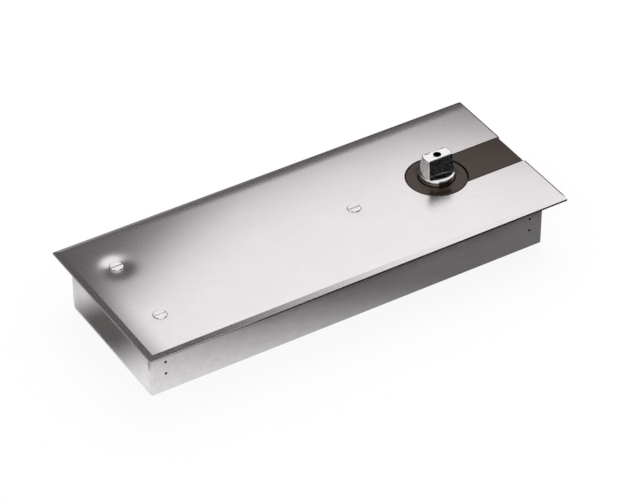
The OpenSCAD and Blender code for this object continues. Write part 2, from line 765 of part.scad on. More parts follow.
// ---------- spindle and cam ----------

module spindle() {
    half_foot = flats_foot_w / 2;
    half_top = flats_top_w / 2;
    lean = atan((half_foot - half_top) / taper_h);
    base_edge = 0.4;
    top_edge = 0.7;
    color([0.84, 0.84, 0.85]) at_spindle() difference() {
        union() {
            post(foot_journal_d / 2, spindle_z0, cam_z0 + e);
            post(cam_seat_d / 2, cam_z0, cam_z1 + e);
            post(journal_d / 2, cam_z1, base_z0 + e);
            post(base_d / 2, base_z0, base_top - base_edge);
            translate([0, 0, base_top - base_edge]) cylinder(h = base_edge,
                r1 = base_d / 2, r2 = base_d / 2 - base_edge);
            translate([0, 0, base_top]) cylinder(h = taper_h - top_edge,
                r1 = taper_foot_d / 2, r2 = taper_top_d / 2);
            translate([0, 0, spindle_top - top_edge]) cylinder(h = top_edge,
                r1 = taper_top_d / 2, r2 = taper_top_d / 2 - top_edge);
        }
        for (s = [-1, 1]) translate([0, s * half_foot, base_top]) rotate([s * lean, 0, 0])
            translate([-base_d, s > 0 ? 0 : -base_d, 0]) cube([2 * base_d, base_d, 2 * taper_h]);
        post(arm_hole_d / 2, spindle_top - arm_hole_depth, spindle_top + e);
        translate([0, 0, spindle_top - arm_hole_sink]) cylinder(h = arm_hole_sink + e,
            r1 = arm_hole_d / 2, r2 = arm_hole_d / 2 + arm_hole_sink + e);
        translate([-cam_seat_d / 2 - e, -key_w / 2, cam_z0]) cube([key_w / 2 + e, key_w, cam_t]);
    }
}

// The cam flank is the roller's path moved inwards by the roller's radius, square to it.
function flank_point(a) = let (
        p = roller_reach + cam_lift(a), s = cam_slope_at(a), n = sqrt(p * p + s * s),
        u = p - offset_r * p / n, v = offset_r * s / n)
    [u * cos(a) - v * sin(a), u * sin(a) + v * cos(a)];

module cam_outline() {
    step = 4;
    notch = atan(cam_slope / roller_reach);
    polygon(concat(
        [for (a = [0 : step : 180]) flank_point(a)],
        [for (a = [180 - step : -step : 0]) let (p = flank_point(a)) [p.x, -p.y]],
        [for (t = [-notch * 0.75 : notch * 0.25 : notch * 0.8])
            [roller_reach - offset_r * cos(t), offset_r * sin(t)]]));
}

module cam_disc() {
    color([0.55, 0.56, 0.58]) at_spindle() difference() {
        translate([0, 0, cam_z0]) linear_extrude(cam_t) cam_outline();
        post(cam_seat_d / 2 + fit, cam_z0 - e, cam_z1 + e);
        translate([-cam_seat_d / 2 - key_w / 2, -key_w / 2, cam_z0 - e])
            cube([key_w, key_w, cam_t + 2 * e]);
    }
}

module cam_key() {
    color([0.4, 0.4, 0.42]) at_spindle()
        translate([-cam_seat_d / 2 - key_w / 2 + fit, -key_w / 2 + fit, cam_z0])
            cube([key_w - 2 * fit, key_w - 2 * fit, cam_t]);
}

module cam_spacer() {
    color([0.6, 0.6, 0.62]) at_spindle()
        ring(foot_bush_r - 0.2, foot_journal_d / 2 + fit, foot_boss_top + 0.1, cam_z0);
}

// ---------- carriage ----------

module carriage_plates() {
    x0 = crosshead_x0;
    x1 = roller_reach + carriage_lead;
    slot_r = journal_d / 2 + slide_gap;
    color([0.5, 0.51, 0.53]) at_spindle() difference() {
        for (z = [plate_lo_z, plate_hi_z]) translate([(x0 + x1) / 2, 0, z])
            linear_extrude(carriage_plate_t) rounded_rect(x1 - x0, carriage_w, 5);
        for (x = [0, -carriage_stroke - 0.5]) translate([x, 0, 0])
            post(slot_r, plate_lo_z - e, carriage_top + e);
        translate([-carriage_stroke - 0.5, -slot_r, plate_lo_z - e])
            cube([carriage_stroke + 0.5, 2 * slot_r, carriage_top - plate_lo_z + 2 * e]);
        translate([roller_reach, 0, 0])
            post(roller_pin_d / 2 + fit, plate_lo_z - e, carriage_top + e);
        crosshead_rivet_places() post(rivet_d / 2 + fit, plate_lo_z - e, carriage_top + e);
    }
}

module crosshead_rivet_places() {
    for (s = [-1, 1])
        translate([(crosshead_x0 + crosshead_x1) / 2, s * (carriage_w / 2 - rivet_inset), 0])
            children();
}

module crosshead() {
    z0 = plate_lo_z + carriage_plate_t;
    color([0.5, 0.51, 0.53]) at_spindle() difference() {
        translate([(crosshead_x0 + crosshead_x1) / 2, 0, z0])
            linear_extrude(plate_hi_z - z0) rounded_rect(crosshead_l, carriage_w, 1.5);
        crosshead_rivet_places() post(rivet_d / 2 + fit, z0 - e, plate_hi_z + e);
        along_x(crosshead_x0 - e, crosshead_l + 2 * e, rod_d / 2 + fit);
    }
}

module crosshead_rivets() {
    color([0.62, 0.62, 0.64]) at_spindle() crosshead_rivet_places()
        post(rivet_d / 2, plate_lo_z - 0.2, carriage_top + 0.2);
}

module roller_pin() {
    color([0.62, 0.62, 0.64]) at_spindle() translate([roller_reach, 0, 0])
        post(roller_pin_d / 2, plate_lo_z, carriage_top);
}

module cam_roller() {
    color([0.66, 0.66, 0.68]) at_spindle() translate([roller_reach, 0, 0]) rotate_extrude()
        polygon([[roller_pin_d / 2 + fit, cam_z0 - 0.3], [roller_r - 0.5, cam_z0 - 0.3],
            [roller_r, cam_z0 + 0.2], [roller_r, cam_z1 - 0.2], [roller_r - 0.5, cam_z1 + 0.3],
            [roller_pin_d / 2 + fit, cam_z1 + 0.3]]);
}

// ---------- pull rod, piston and spring ----------

module pull_rod() {
    color([0.75, 0.75, 0.77]) at_spindle() {
        along_x(piston_x1, crosshead_x1 - piston_x1 - 0.5, rod_d / 2);
        along_x(rod_x0, piston_x1 - rod_x0 + e, rod_neck_r);
    }
}

module piston() {
    color([0.6, 0.61, 0.63]) at_spindle() difference() {
        along_x(piston_x0, piston_l, bore_d / 2 - fit);
        along_x(piston_x0 - e, piston_l + 2 * e, rod_neck_r + fit);
        along_x(piston_x0 - e, nut_t + 1 + e, nut_af / 2 + 1.6);
        // Groove of the piston ring, which the closing valve's port never meets.
        difference() {
            along_x(ring_x0, ring_w, bore_d / 2 + e);
            along_x(ring_x0 - e, ring_w + 2 * e, bore_d / 2 - ring_depth);
        }
        // Check valve: a wide bore for the ball with a narrow seat on the spring side.
        translate([0, check_y, 0]) {
            along_x(piston_x0 - e, check_seat_x - piston_x0 + e, check_r);
            along_x(piston_x0, piston_l + e, ball_r * 0.65);
        }
    }
}

module piston_seal() {
    color([0.1, 0.1, 0.1]) at_spindle() difference() {
        along_x(ring_x0 + fit, ring_w - 2 * fit, bore_d / 2 - 0.02);
        along_x(ring_x0 - e, ring_w + 2 * e, bore_d / 2 - ring_depth + fit);
    }
}

module rod_nut() {
    color([0.62, 0.62, 0.64]) at_spindle() difference() {
        translate([piston_x0 + 1, 0, barrel_z]) rotate([0, 90, 0])
            cylinder(h = nut_t, r = nut_af / 2 / cos(30), $fn = 6);
        along_x(piston_x0, nut_t + 2, rod_neck_r + fit);
    }
}

module check_ball() {
    color([0.8, 0.8, 0.82]) at_spindle()
        translate([check_seat_x - ball_r, check_y, barrel_z]) sphere(r = ball_r);
}

// Pressed-in tube that keeps the ball in the piston.
module check_retainer() {
    color([0.62, 0.62, 0.64]) at_spindle() translate([0, check_y, 0]) difference() {
        along_x(check_seat_x - 2 * ball_r - 3, retainer_l, check_r - fit);
        along_x(check_seat_x - 2 * ball_r - 3 - e, retainer_l + 2 * e, check_r / 2);
    }
}

// Compression spring with closed ends.
function spring_x(t) = let (
        dead = wire_d * 1.02, active = spring_turns - 2 * dead_turns,
        pitch = (spring_l - wire_d - 2 * dead_turns * dead) / active)
    t < dead_turns ? t * dead
    : t > spring_turns - dead_turns ? dead_turns * dead + active * pitch
        + (t - spring_turns + dead_turns) * dead
    : dead_turns * dead + (t - dead_turns) * pitch;
function spring_ring(i) = let (t = i / ring_steps, a = t * 360, x = spring_x(t) + wire_d / 2)
    [for (k = [0 : section_sides - 1]) let (b = k * 360 / section_sides,
        r = spring_r + wire_d / 2 * cos(b))
        [x + wire_d / 2 * sin(b), r * cos(a), r * sin(a)]];

module closing_spring() {
    n = spring_turns * ring_steps;
    s = section_sides;
    color([0.42, 0.44, 0.48]) at_spindle() translate([spring_x0, 0, barrel_z]) polyhedron(
        points = [for (i = [0 : n]) each spring_ring(i)],
        faces = concat(
            [for (i = [0 : n - 1], k = [0 : s - 1])
                [i * s + k, i * s + (k + 1) % s, (i + 1) * s + (k + 1) % s, (i + 1) * s + k]],
            [[for (k = [0 : s - 1]) s - 1 - k]],
            [[for (k = [0 : s - 1]) n * s + k]]),
        convexity = 12);
}

// ---------- regulating valves ----------

// A needle valve: slotted head, a groove for its seal and a conical tip.
module needle_valve(reach) {
    r = valve_d / 2;
    tip = 1.4;
    color([0.74, 0.6, 0.32]) at_spindle() translate([-reach, valve_y, 0]) difference() {
        union() {
            post(r, valve_tip_z + tip, block_top - 0.6);
            translate([0, 0, valve_tip_z + 0.1]) cylinder(h = tip, r1 = 1, r2 = r - 0.6);
        }
        ring(r + e, r - valve_seal_d, valve_seal_z - valve_seal_d / 2 - 0.1,
            valve_seal_z + valve_seal_d / 2 + 0.1);
        driver_cut(valve_d + 1, 1.6, block_top - 0.6);
    }
}

module valve_seal(reach) {
    color([0.1, 0.1, 0.1]) at_spindle() translate([-reach, valve_y, valve_seal_z])
        rotate_extrude() translate([valve_d / 2 - valve_seal_d / 2, 0]) circle(d = valve_seal_d - 0.1);
}

module closing_valve() { needle_valve(closing_valve_reach); }
module closing_valve_seal() { valve_seal(closing_valve_reach); }
module latching_valve() { needle_valve(latching_valve_reach); }
module latching_valve_seal() { valve_seal(latching_valve_reach); }

cement_box();
floor_bosses();
cover_pillars();
closer_body();
mounting_screws();
mounting_washers();
lid_gasket();
body_lid();
lid_screws();
filler_plug();
gallery_plug();
lower_bush();
thrust_disc();
upper_bush();
spindle_seal();
rod_bush();
end_plug();
end_plug_seal();
cover_plate();
cover_screws();
slot_insert();
rosette();
spindle();
cam_disc();
cam_key();
cam_spacer();
carriage_plates();
crosshead();
crosshead_rivets();
roller_pin();
cam_roller();
pull_rod();
piston();
piston_seal();
rod_nut();
check_ball();
check_retainer();
closing_spring();
closing_valve();
closing_valve_seal();
latching_valve();
latching_valve_seal();
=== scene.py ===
"""Looks of a low-profile floor spring door closer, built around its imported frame.

The folded box, the cover plate, its screws and the slot insert are the frame's shapes with softer
edges, and the screws get domed heads.  The spindle, the rosette and the closing spring are
modelled again as smooth surfaces.  The inner pieces keep the frame's shapes, and every piece gets
a worked finish.  Lengths are in metres, +X runs along the box towards the spindle and +Z is up.
"""

import json
import logging
import math
from dataclasses import dataclass, field
from enum import Enum

import bmesh
import bpy
import numpy as np
from mathutils import Matrix, Vector


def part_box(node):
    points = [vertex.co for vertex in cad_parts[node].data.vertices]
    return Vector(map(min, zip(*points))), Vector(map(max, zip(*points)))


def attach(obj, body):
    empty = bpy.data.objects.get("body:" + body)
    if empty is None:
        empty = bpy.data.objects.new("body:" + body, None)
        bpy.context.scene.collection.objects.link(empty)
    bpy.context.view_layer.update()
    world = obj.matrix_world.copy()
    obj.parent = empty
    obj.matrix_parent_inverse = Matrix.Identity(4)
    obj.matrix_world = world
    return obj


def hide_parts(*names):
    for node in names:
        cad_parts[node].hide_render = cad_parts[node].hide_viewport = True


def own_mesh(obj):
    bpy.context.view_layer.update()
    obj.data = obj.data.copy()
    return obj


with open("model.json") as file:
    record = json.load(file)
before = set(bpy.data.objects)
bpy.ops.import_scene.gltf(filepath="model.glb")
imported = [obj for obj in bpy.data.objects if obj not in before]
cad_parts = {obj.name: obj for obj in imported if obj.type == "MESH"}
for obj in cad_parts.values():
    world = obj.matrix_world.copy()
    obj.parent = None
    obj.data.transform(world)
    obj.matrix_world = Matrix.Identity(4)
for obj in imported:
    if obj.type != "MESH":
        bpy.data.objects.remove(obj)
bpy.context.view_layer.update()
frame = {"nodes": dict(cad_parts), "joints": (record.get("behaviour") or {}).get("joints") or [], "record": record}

LOG = logging.getLogger("floor_spring")
MM = 0.001

Colour = tuple[float, float, float]
Point = tuple[float, float, float]


# ---------------------------------------------------------------------------------------------
# Surfaces


def ring_faces(rings: int, around: int, start: int = 0) -> np.ndarray:
    """Joins neighbouring rings of points with quads.

    Point j of ring i is joined to point j + 1 of the same ring and to the same two points of
    ring i + 1, and the last point of a ring is followed by its first.

    Args:
        rings: Number of rings.
        around: Number of points in a ring.
        start: Index of the first point.

    Returns:
        An array of quads, one row of four indices each.
    """
    i, j = np.meshgrid(np.arange(rings - 1), np.arange(around), indexing="ij")
    k = (j + 1) % around
    quads = np.stack([i * around + j, i * around + k, (i + 1) * around + k, (i + 1) * around + j], -1)
    return quads.reshape(-1, 4) + start


def fan_faces(ring_start: int, around: int, pole: int, flip: bool) -> np.ndarray:
    """Closes a ring with triangles that meet in one pole.

    Args:
        ring_start: Index of the ring's first point.
        around: Number of points in the ring.
        pole: Index of the pole.
        flip: True for the end of a surface, False for its beginning.

    Returns:
        An array of triangles, one row of three indices each.
    """
    j = np.arange(around)
    k = (j + 1) % around
    first, second = (j, k) if flip else (k, j)
    return np.stack([ring_start + first, ring_start + second, np.full(around, pole)], -1)


def build_mesh(name: str, points: np.ndarray, quads: np.ndarray, triangles: np.ndarray,
               sharp_angle: float = math.radians(35)) -> bpy.types.Object:
    """Puts whole arrays into a mesh object at the origin.

    Args:
        name: Name of the object.
        points: Corners, one row each.
        quads: Faces with four corners.
        triangles: Faces with three corners.
        sharp_angle: Edges that turn more than this are shaded sharp.

    Returns:
        The new object, linked to the scene.
    """
    mesh = bpy.data.meshes.new(name)
    corners = np.concatenate([quads.ravel(), triangles.ravel()]).astype(np.int32)
    sizes = np.concatenate([np.full(len(quads), 4), np.full(len(triangles), 3)]).astype(np.int32)
    starts = np.concatenate([[0], np.cumsum(sizes)[:-1]]).astype(np.int32)
    mesh.vertices.add(len(points))
    mesh.vertices.foreach_set("co", points.astype(np.float32).ravel())
    mesh.loops.add(len(corners))
    mesh.loops.foreach_set("vertex_index", corners)
    mesh.polygons.add(len(sizes))
    mesh.polygons.foreach_set("loop_start", starts)
    mesh.update(calc_edges=True)
    mesh.validate()
    return shaded_object(name, mesh, sharp_angle)


def shaded_object(name: str, mesh: bpy.types.Mesh, sharp_angle: float) -> bpy.types.Object:
    """Shades a mesh smooth up to an angle and links it to the scene as an object."""
    mesh.polygons.foreach_set("use_smooth", np.ones(len(mesh.polygons), dtype=bool))
    mesh.set_sharp_from_angle(angle=sharp_angle)
    piece = bpy.data.objects.new(name, mesh)
    bpy.context.scene.collection.objects.link(piece)
    return piece


def tube_of_rings(name: str, rings: np.ndarray, first_pole: np.ndarray,
                  last_pole: np.ndarray) -> bpy.types.Object:
    """Makes a closed shell from a stack of rings and a pole at each end.

    Args:
        name: Name of the object.
        rings: Points with the shape (rings, around, 3), counter-clockwise seen from the end.
        first_pole: Point that closes the first ring.
        last_pole: Point that closes the last ring.

    Returns:
        The new object.
    """
    count, around, _ = rings.shape
    points = np.concatenate([rings.reshape(-1, 3), [first_pole, last_pole]])
    pole = count * around
    fans = [fan_faces(0, around, pole, False), fan_faces(pole - around, around, pole + 1, True)]
    return build_mesh(name, points, ring_faces(count, around), np.concatenate(fans))


# ---------------------------------------------------------------------------------------------
# Shader groups


class Sheet:
    """A node tree with short calls to add, set and join nodes."""

    def __init__(self, tree: bpy.types.NodeTree) -> None:
        """Keeps the tree to work on."""
        self.tree = tree

    def add(self, kind: str, settings: dict | None = None, **inputs: object) -> bpy.types.Node:
        """Adds a node, sets its properties, and sets or links its inputs.

        Args:
            kind: Blender's identifier of the node.
            settings: Properties of the node, such as its operation.
            **inputs: Input sockets by name, with underscores for blanks, or i0, i1 and so on by
                number. A socket is linked and any other value is set.

        Returns:
            The new node.
        """
        node = self.tree.nodes.new(kind)
        for key, value in (settings or {}).items():
            setattr(node, key, value)
        for key, value in inputs.items():
            numbered = key[0] == "i" and key[1:].isdigit()
            socket = node.inputs[int(key[1:]) if numbered else key.replace("_", " ")]
            if isinstance(value, bpy.types.NodeSocket):
                self.tree.links.new(value, socket)
            else:
                socket.default_value = value
        return node

    def maths(self, operation: str, first: object, second: object = 0.0) -> bpy.types.NodeSocket:
        """Adds a Math node and returns its output."""
        return self.add("ShaderNodeMath", {"operation": operation}, i0=first, i1=second).outputs[0]

    def blend(self, share: object, low: Colour, high: Colour) -> bpy.types.NodeSocket:
        """Mixes two colours by a share and returns the colour."""
        node = self.add("ShaderNodeMix", {"data_type": "RGBA"}, i0=share, i6=(*low, 1), i7=(*high, 1))
        return node.outputs[2]

    def spread(self, value: object, low: float, high: float) -> bpy.types.NodeSocket:
        """Maps 0 to 1 onto low to high and returns the result."""
        return self.add("ShaderNodeMapRange", i0=value, i1=0.0, i2=1.0, i3=low, i4=high).outputs[0]

    def object_place(self) -> bpy.types.NodeSocket:
        """Returns the Object coordinates."""
        return self.add("ShaderNodeTexCoord").outputs["Object"]


def new_group(name: str, inputs: dict[str, str], outputs: dict[str, str]) -> tuple:
    """Starts a shader node group.

    Args:
        name: Name of the group.
        inputs: Socket type by name of each input.
        outputs: Socket type by name of each output.

    Returns:
        The sheet to work on, the group's input node and its output node.
    """
    tree = bpy.data.node_groups.new(name, "ShaderNodeTree")
    for way, sockets in (("INPUT", inputs), ("OUTPUT", outputs)):
        for socket, kind in sockets.items():
            tree.interface.new_socket(name=socket, in_out=way, socket_type=kind)
    return Sheet(tree), tree.nodes.new("NodeGroupInput"), tree.nodes.new("NodeGroupOutput")


FLOAT = "NodeSocketFloat"
VECTOR = "NodeSocketVector"


def stroke_group() -> bpy.types.NodeTree:
    """Brush strokes: fine noise on coordinates that are stretched along the strokes.

    Returns:
        A group with the outputs Height, for a bump, and Tone, for colour and roughness.
    """
    sheet, source, sink = new_group("brush_strokes", {"Place": VECTOR, "Density": VECTOR},
                                    {"Height": FLOAT, "Tone": FLOAT})
    place = sheet.add("ShaderNodeVectorMath", {"operation": "MULTIPLY"},
                      i0=source.outputs[0], i1=source.outputs[1]).outputs[0]
    fine = sheet.add("ShaderNodeTexNoise", Vector=place, Scale=1.0, Detail=3.0, Roughness=0.65)
    broad_place = sheet.add("ShaderNodeVectorMath", {"operation": "SCALE"}, Vector=place, Scale=0.17)
    broad = sheet.add("ShaderNodeTexNoise", Vector=broad_place.outputs[0], Scale=1.0, Detail=2.0)
    mixed = sheet.maths("ADD", sheet.maths("MULTIPLY", fine.outputs[0], 0.7),
                        sheet.maths("MULTIPLY", broad.outputs[0], 0.3))
    sheet.tree.links.new(mixed, sink.inputs["Height"])
    sheet.tree.links.new(sheet.spread(mixed, -0.5, 1.5), sink.inputs["Tone"])
    return sheet.tree


def cloud_group() -> bpy.types.NodeTree:
    """Handling marks: wide soft clouds, and small specks where the noise peaks.

    Returns:
        A group with the outputs Cloud and Speck.
    """
    sheet, source, sink = new_group("handling_clouds", {"Place": VECTOR, "Scale": FLOAT},
                                    {"Cloud": FLOAT, "Speck": FLOAT})
    wide = sheet.add("ShaderNodeTexNoise", Vector=source.outputs[0], Scale=source.outputs[1],
                     Detail=4.0, Roughness=0.55, Distortion=0.6)
    small_scale = sheet.maths("MULTIPLY", source.outputs[1], 14.0)
    small = sheet.add("ShaderNodeTexNoise", Vector=source.outputs[0], Scale=small_scale, Detail=2.0)
    cloud = sheet.add("ShaderNodeMapRange", i0=wide.outputs[0], i1=0.36, i2=0.66)
    speck = sheet.add("ShaderNodeMapRange", i0=small.outputs[0], i1=0.62, i2=0.72)
    sheet.tree.links.new(cloud.outputs[0], sink.inputs["Cloud"])
    sheet.tree.links.new(speck.outputs[0], sink.inputs["Speck"])
    return sheet.tree


def spangle_group() -> bpy.types.NodeTree:
    """Zinc crystals: cells of one tone each, with slightly raised borders.

    Returns:
        A group with the outputs Tone, one value for each crystal, and Height.
    """
    sheet, source, sink = new_group("zinc_spangle", {"Place": VECTOR, "Scale": FLOAT},
                                    {"Tone": FLOAT, "Height": FLOAT})
    warp = sheet.add("ShaderNodeTexNoise", Vector=source.outputs[0], Scale=90.0, Detail=2.0)
    shift = sheet.add("ShaderNodeVectorMath", {"operation": "SCALE"}, Vector=warp.outputs["Color"],
                      Scale=0.003)
    place = sheet.add("ShaderNodeVectorMath", {"operation": "ADD"}, i0=source.outputs[0],
                      i1=shift.outputs[0]).outputs[0]
    cells = sheet.add("ShaderNodeTexVoronoi", Vector=place, Scale=source.outputs[1])
    tone = sheet.add("ShaderNodeSeparateColor", Color=cells.outputs["Color"]).outputs[0]
    border = sheet.add("ShaderNodeTexVoronoi", {"feature": "DISTANCE_TO_EDGE"}, Vector=place,
                       Scale=source.outputs[1])
    height = sheet.add("ShaderNodeMapRange", i0=border.outputs[0], i1=0.0, i2=0.15, i3=1.0, i4=0.0)
    sheet.tree.links.new(tone, sink.inputs["Tone"])
    sheet.tree.links.new(height.outputs[0], sink.inputs["Height"])
    return sheet.tree


def dimple_group() -> bpy.types.NodeTree:
    """Shallow dimple that a tight screw pulls into a plate.

    The height is minus exp(-d * d / (2 s * s)) at a distance d from the centre, where s is the
    spread.

    Returns:
        A group with the output Height.
    """
    sheet, source, sink = new_group("screw_dimple", {"Place": VECTOR, "Centre": VECTOR,
                                                     "Spread": FLOAT}, {"Height": FLOAT})
    distance = sheet.add("ShaderNodeVectorMath", {"operation": "DISTANCE"}, i0=source.outputs[0],
                         i1=source.outputs[1]).outputs["Value"]
    share = sheet.maths("DIVIDE", distance, source.outputs[2])
    power = sheet.maths("MULTIPLY", sheet.maths("MULTIPLY", share, share), -0.5)
    height = sheet.maths("MULTIPLY", sheet.maths("EXPONENT", power), -1.0)
    sheet.tree.links.new(height, sink.inputs["Height"])
    return sheet.tree


@dataclass(frozen=True)
class ShaderGroups:
    """The effects that several finishes share, built once."""

    strokes: bpy.types.NodeTree
    clouds: bpy.types.NodeTree
    spangle: bpy.types.NodeTree
    dimple: bpy.types.NodeTree

    @classmethod
    def build(cls) -> "ShaderGroups":
        """Builds each group."""
        return cls(stroke_group(), cloud_group(), spangle_group(), dimple_group())


# ---------------------------------------------------------------------------------------------
# Finishes


class Grain(Enum):
    """Direction in which a surface was brushed, as strokes per metre along X, Y and Z."""

    LENGTHWISE = (220.0, 1900.0, 1900.0)
    TURNED = (120.0, 120.0, 6000.0)
    ALONG_BARREL = (5000.0, 150.0, 150.0)
    EVEN = (2200.0, 2200.0, 2200.0)


@dataclass(frozen=True)
class Finish:
    """What every finish has: a name, two tones, a roughness and its swing."""

    name: str
    tone: Colour
    second_tone: Colour
    roughness: float
    swing: float

    def start(self) -> tuple[bpy.types.Material, Sheet, bpy.types.Node]:
        """Makes the material, the sheet of its tree and its Principled shader."""
        material = bpy.data.materials.new(self.name)
        material.use_nodes = True
        sheet = Sheet(material.node_tree)
        shader = material.node_tree.nodes["Principled BSDF"]
        shader.inputs["Roughness"].default_value = self.roughness
        return material, sheet, shader

    def clouds(self, sheet: Sheet, groups: ShaderGroups, scale: float) -> bpy.types.Node:
        """Places the group of handling marks."""
        return sheet.add("ShaderNodeGroup", {"node_tree": groups.clouds}, Place=sheet.object_place(),
                         Scale=scale)

    def bump(self, sheet: Sheet, shader: bpy.types.Node, height: bpy.types.NodeSocket,
             depth: float) -> None:
        """Feeds a height through a Bump node into the shader's normal."""
        node = sheet.add("ShaderNodeBump", Height=height, Distance=depth, Strength=1.0)
        sheet.tree.links.new(node.outputs[0], shader.inputs["Normal"])

    def polish(self, sheet: Sheet, share: bpy.types.NodeSocket) -> bpy.types.NodeSocket:
        """Roughness of a metal, which falls as the share of its first tone rises."""
        return sheet.spread(share, self.roughness + self.swing, self.roughness - self.swing)

    def build(self, groups: ShaderGroups) -> bpy.types.Material:
        """Builds the material; each kind of finish says how."""
        raise NotImplementedError


@dataclass(frozen=True)
class Dimple:
    """A shallow hollow that a tight screw pulls into a plate."""

    centre: Point
    spread: float
    depth: float


@dataclass(frozen=True)
class WorkedMetal(Finish):
    """Bare metal with brush strokes or turning marks, faint handling marks and, where a bore is given, painted
    shade inside it.
    """

    grain: Grain = Grain.EVEN
    depth: float = 0.004 * MM
    marks: float = 0.35
    dimples: tuple[Dimple, ...] = ()
    # Painted shade: axis and radius of a bore whose inside is darkened, and the darker colour.
    bore: tuple[Point, float] | None = None
    bore_shade_tone: Colour = (0.05, 0.035, 0.03)
    cloud_scale: float = 16.0

    def paint_bore_shade(self, sheet: Sheet, colour: bpy.types.NodeSocket) -> bpy.types.NodeSocket:
        """Darkens what lies within the bore's radius of its upright axis: painted shade inside the hole.

        Args:
            sheet: The material's tree.
            colour: Colour of the bare metal.

        Returns:
            The colour with the bore's painted shade in it.
        """
        centre, radius = self.bore
        flat = sheet.add("ShaderNodeVectorMath", {"operation": "MULTIPLY"}, i0=sheet.object_place(),
                         i1=(1.0, 1.0, 0.0)).outputs[0]
        distance = sheet.add("ShaderNodeVectorMath", {"operation": "DISTANCE"}, i0=flat,
                             i1=centre).outputs["Value"]
        inside = sheet.maths("LESS_THAN", distance, radius)
        return sheet.add("ShaderNodeMix", {"data_type": "RGBA"}, i0=inside, i6=colour,
                         i7=(*self.bore_shade_tone, 1)).outputs[2]

    def build(self, groups: ShaderGroups) -> bpy.types.Material:
        """Strokes move colour, roughness and normal; clouds move colour and roughness.

        Args:
            groups: The shared shader groups.

        Returns:
            The material.
        """
        material, sheet, shader = self.start()
        shader.inputs["Metallic"].default_value = 1.0
        strokes = sheet.add("ShaderNodeGroup", {"node_tree": groups.strokes},
                            Place=sheet.object_place(), Density=self.grain.value)
        clouds = self.clouds(sheet, groups, self.cloud_scale)
        share = sheet.maths("ADD", sheet.maths("MULTIPLY", strokes.outputs["Tone"], 1 - self.marks),
                            sheet.maths("MULTIPLY", clouds.outputs["Cloud"], self.marks))
        colour = sheet.blend(share, self.second_tone, self.tone)
        # Painted shade: the inside of the bore is darkened by position.
        if self.bore:
            colour = self.paint_bore_shade(sheet, colour)
        sheet.tree.links.new(colour, shader.inputs["Base Color"])
        sheet.tree.links.new(self.polish(sheet, share), shader.inputs["Roughness"])
        height = sheet.maths("MULTIPLY", strokes.outputs["Height"], self.depth / MM)
        for dimple in self.dimples:
            hollow = sheet.add("ShaderNodeGroup", {"node_tree": groups.dimple},
                               Place=sheet.object_place(), Centre=dimple.centre, Spread=dimple.spread)
            sunk = sheet.maths("MULTIPLY", hollow.outputs[0], dimple.depth / MM)
            height = sheet.maths("ADD", height, sunk)
        self.bump(sheet, shader, height, MM)
        return material


@dataclass(frozen=True)
class ZincSheet(Finish):
    """Zinc-coated sheet: spangle, drawn-in scratches and dull patches."""

    spangle_scale: float = 260.0
    cloud_scale: float = 11.0
    crystal_share: float = 0.35
    patch_share: float = 0.45
    streak_share: float = 0.2
    border_rise: float = 0.35
    scratch_rise: float = 0.5
    depth: float = 0.006 * MM

    def build(self, groups: ShaderGroups) -> bpy.types.Material:
        """Crystals and clouds move colour and roughness; borders and scratches move the normal.

        Args:
            groups: The shared shader groups.

        Returns:
            The material.
        """
        material, sheet, shader = self.start()
        shader.inputs["Metallic"].default_value = 1.0
        place = sheet.object_place()
        spangle = sheet.add("ShaderNodeGroup", {"node_tree": groups.spangle}, Place=place,
                            Scale=self.spangle_scale)
        strokes = sheet.add("ShaderNodeGroup", {"node_tree": groups.strokes}, Place=place,
                            Density=Grain.LENGTHWISE.value)
        clouds = self.clouds(sheet, groups, self.cloud_scale)
        crystal = sheet.maths("MULTIPLY", spangle.outputs["Tone"], self.crystal_share)
        patch = sheet.maths("MULTIPLY", clouds.outputs["Cloud"], self.patch_share)
        streak = sheet.maths("MULTIPLY", strokes.outputs["Tone"], self.streak_share)
        share = sheet.maths("ADD", sheet.maths("ADD", crystal, patch), streak)
        sheet.tree.links.new(sheet.blend(share, self.second_tone, self.tone),
                             shader.inputs["Base Color"])
        sheet.tree.links.new(self.polish(sheet, share), shader.inputs["Roughness"])
        border = sheet.maths("MULTIPLY", spangle.outputs["Height"], self.border_rise)
        scratch = sheet.maths("MULTIPLY", strokes.outputs["Height"], self.scratch_rise)
        self.bump(sheet, shader, sheet.maths("ADD", border, scratch), self.depth)
        return material


@dataclass(frozen=True)
class MouldedSkin(Finish):
    """Plastic, rubber, fibre or paint: a fine pebbled skin with dusty specks."""

    pebble_scale: float = 1500.0
    depth: float = 0.01 * MM
    coat: float = 0.0
    metallic: float = 0.0
    shine: float = 0.5
    tint: Colour = (1.0, 1.0, 1.0)
    cloud_scale: float = 30.0
    cloud_share: float = 0.6

    def build(self, groups: ShaderGroups) -> bpy.types.Material:
        """Clouds and specks move colour and roughness; fine noise moves the normal.

        Args:
            groups: The shared shader groups.

        Returns:
            The material.
        """
        material, sheet, shader = self.start()
        shader.inputs["Metallic"].default_value = self.metallic
        shader.inputs["Coat Weight"].default_value = self.coat
        shader.inputs["Specular IOR Level"].default_value = self.shine
        shader.inputs["Specular Tint"].default_value = (*self.tint, 1)
        clouds = self.clouds(sheet, groups, self.cloud_scale)
        cloud = sheet.maths("MULTIPLY", clouds.outputs["Cloud"], self.cloud_share)
        share = sheet.maths("MAXIMUM", cloud, clouds.outputs["Speck"])
        sheet.tree.links.new(sheet.blend(share, self.tone, self.second_tone),
                             shader.inputs["Base Color"])
        rough = sheet.spread(share, self.roughness - self.swing, self.roughness + self.swing)
        sheet.tree.links.new(rough, shader.inputs["Roughness"])
        pebble = sheet.add("ShaderNodeTexNoise", Vector=sheet.object_place(),
                           Scale=self.pebble_scale, Detail=2.0)
        self.bump(sheet, shader, pebble.outputs[0], self.depth)
        return material


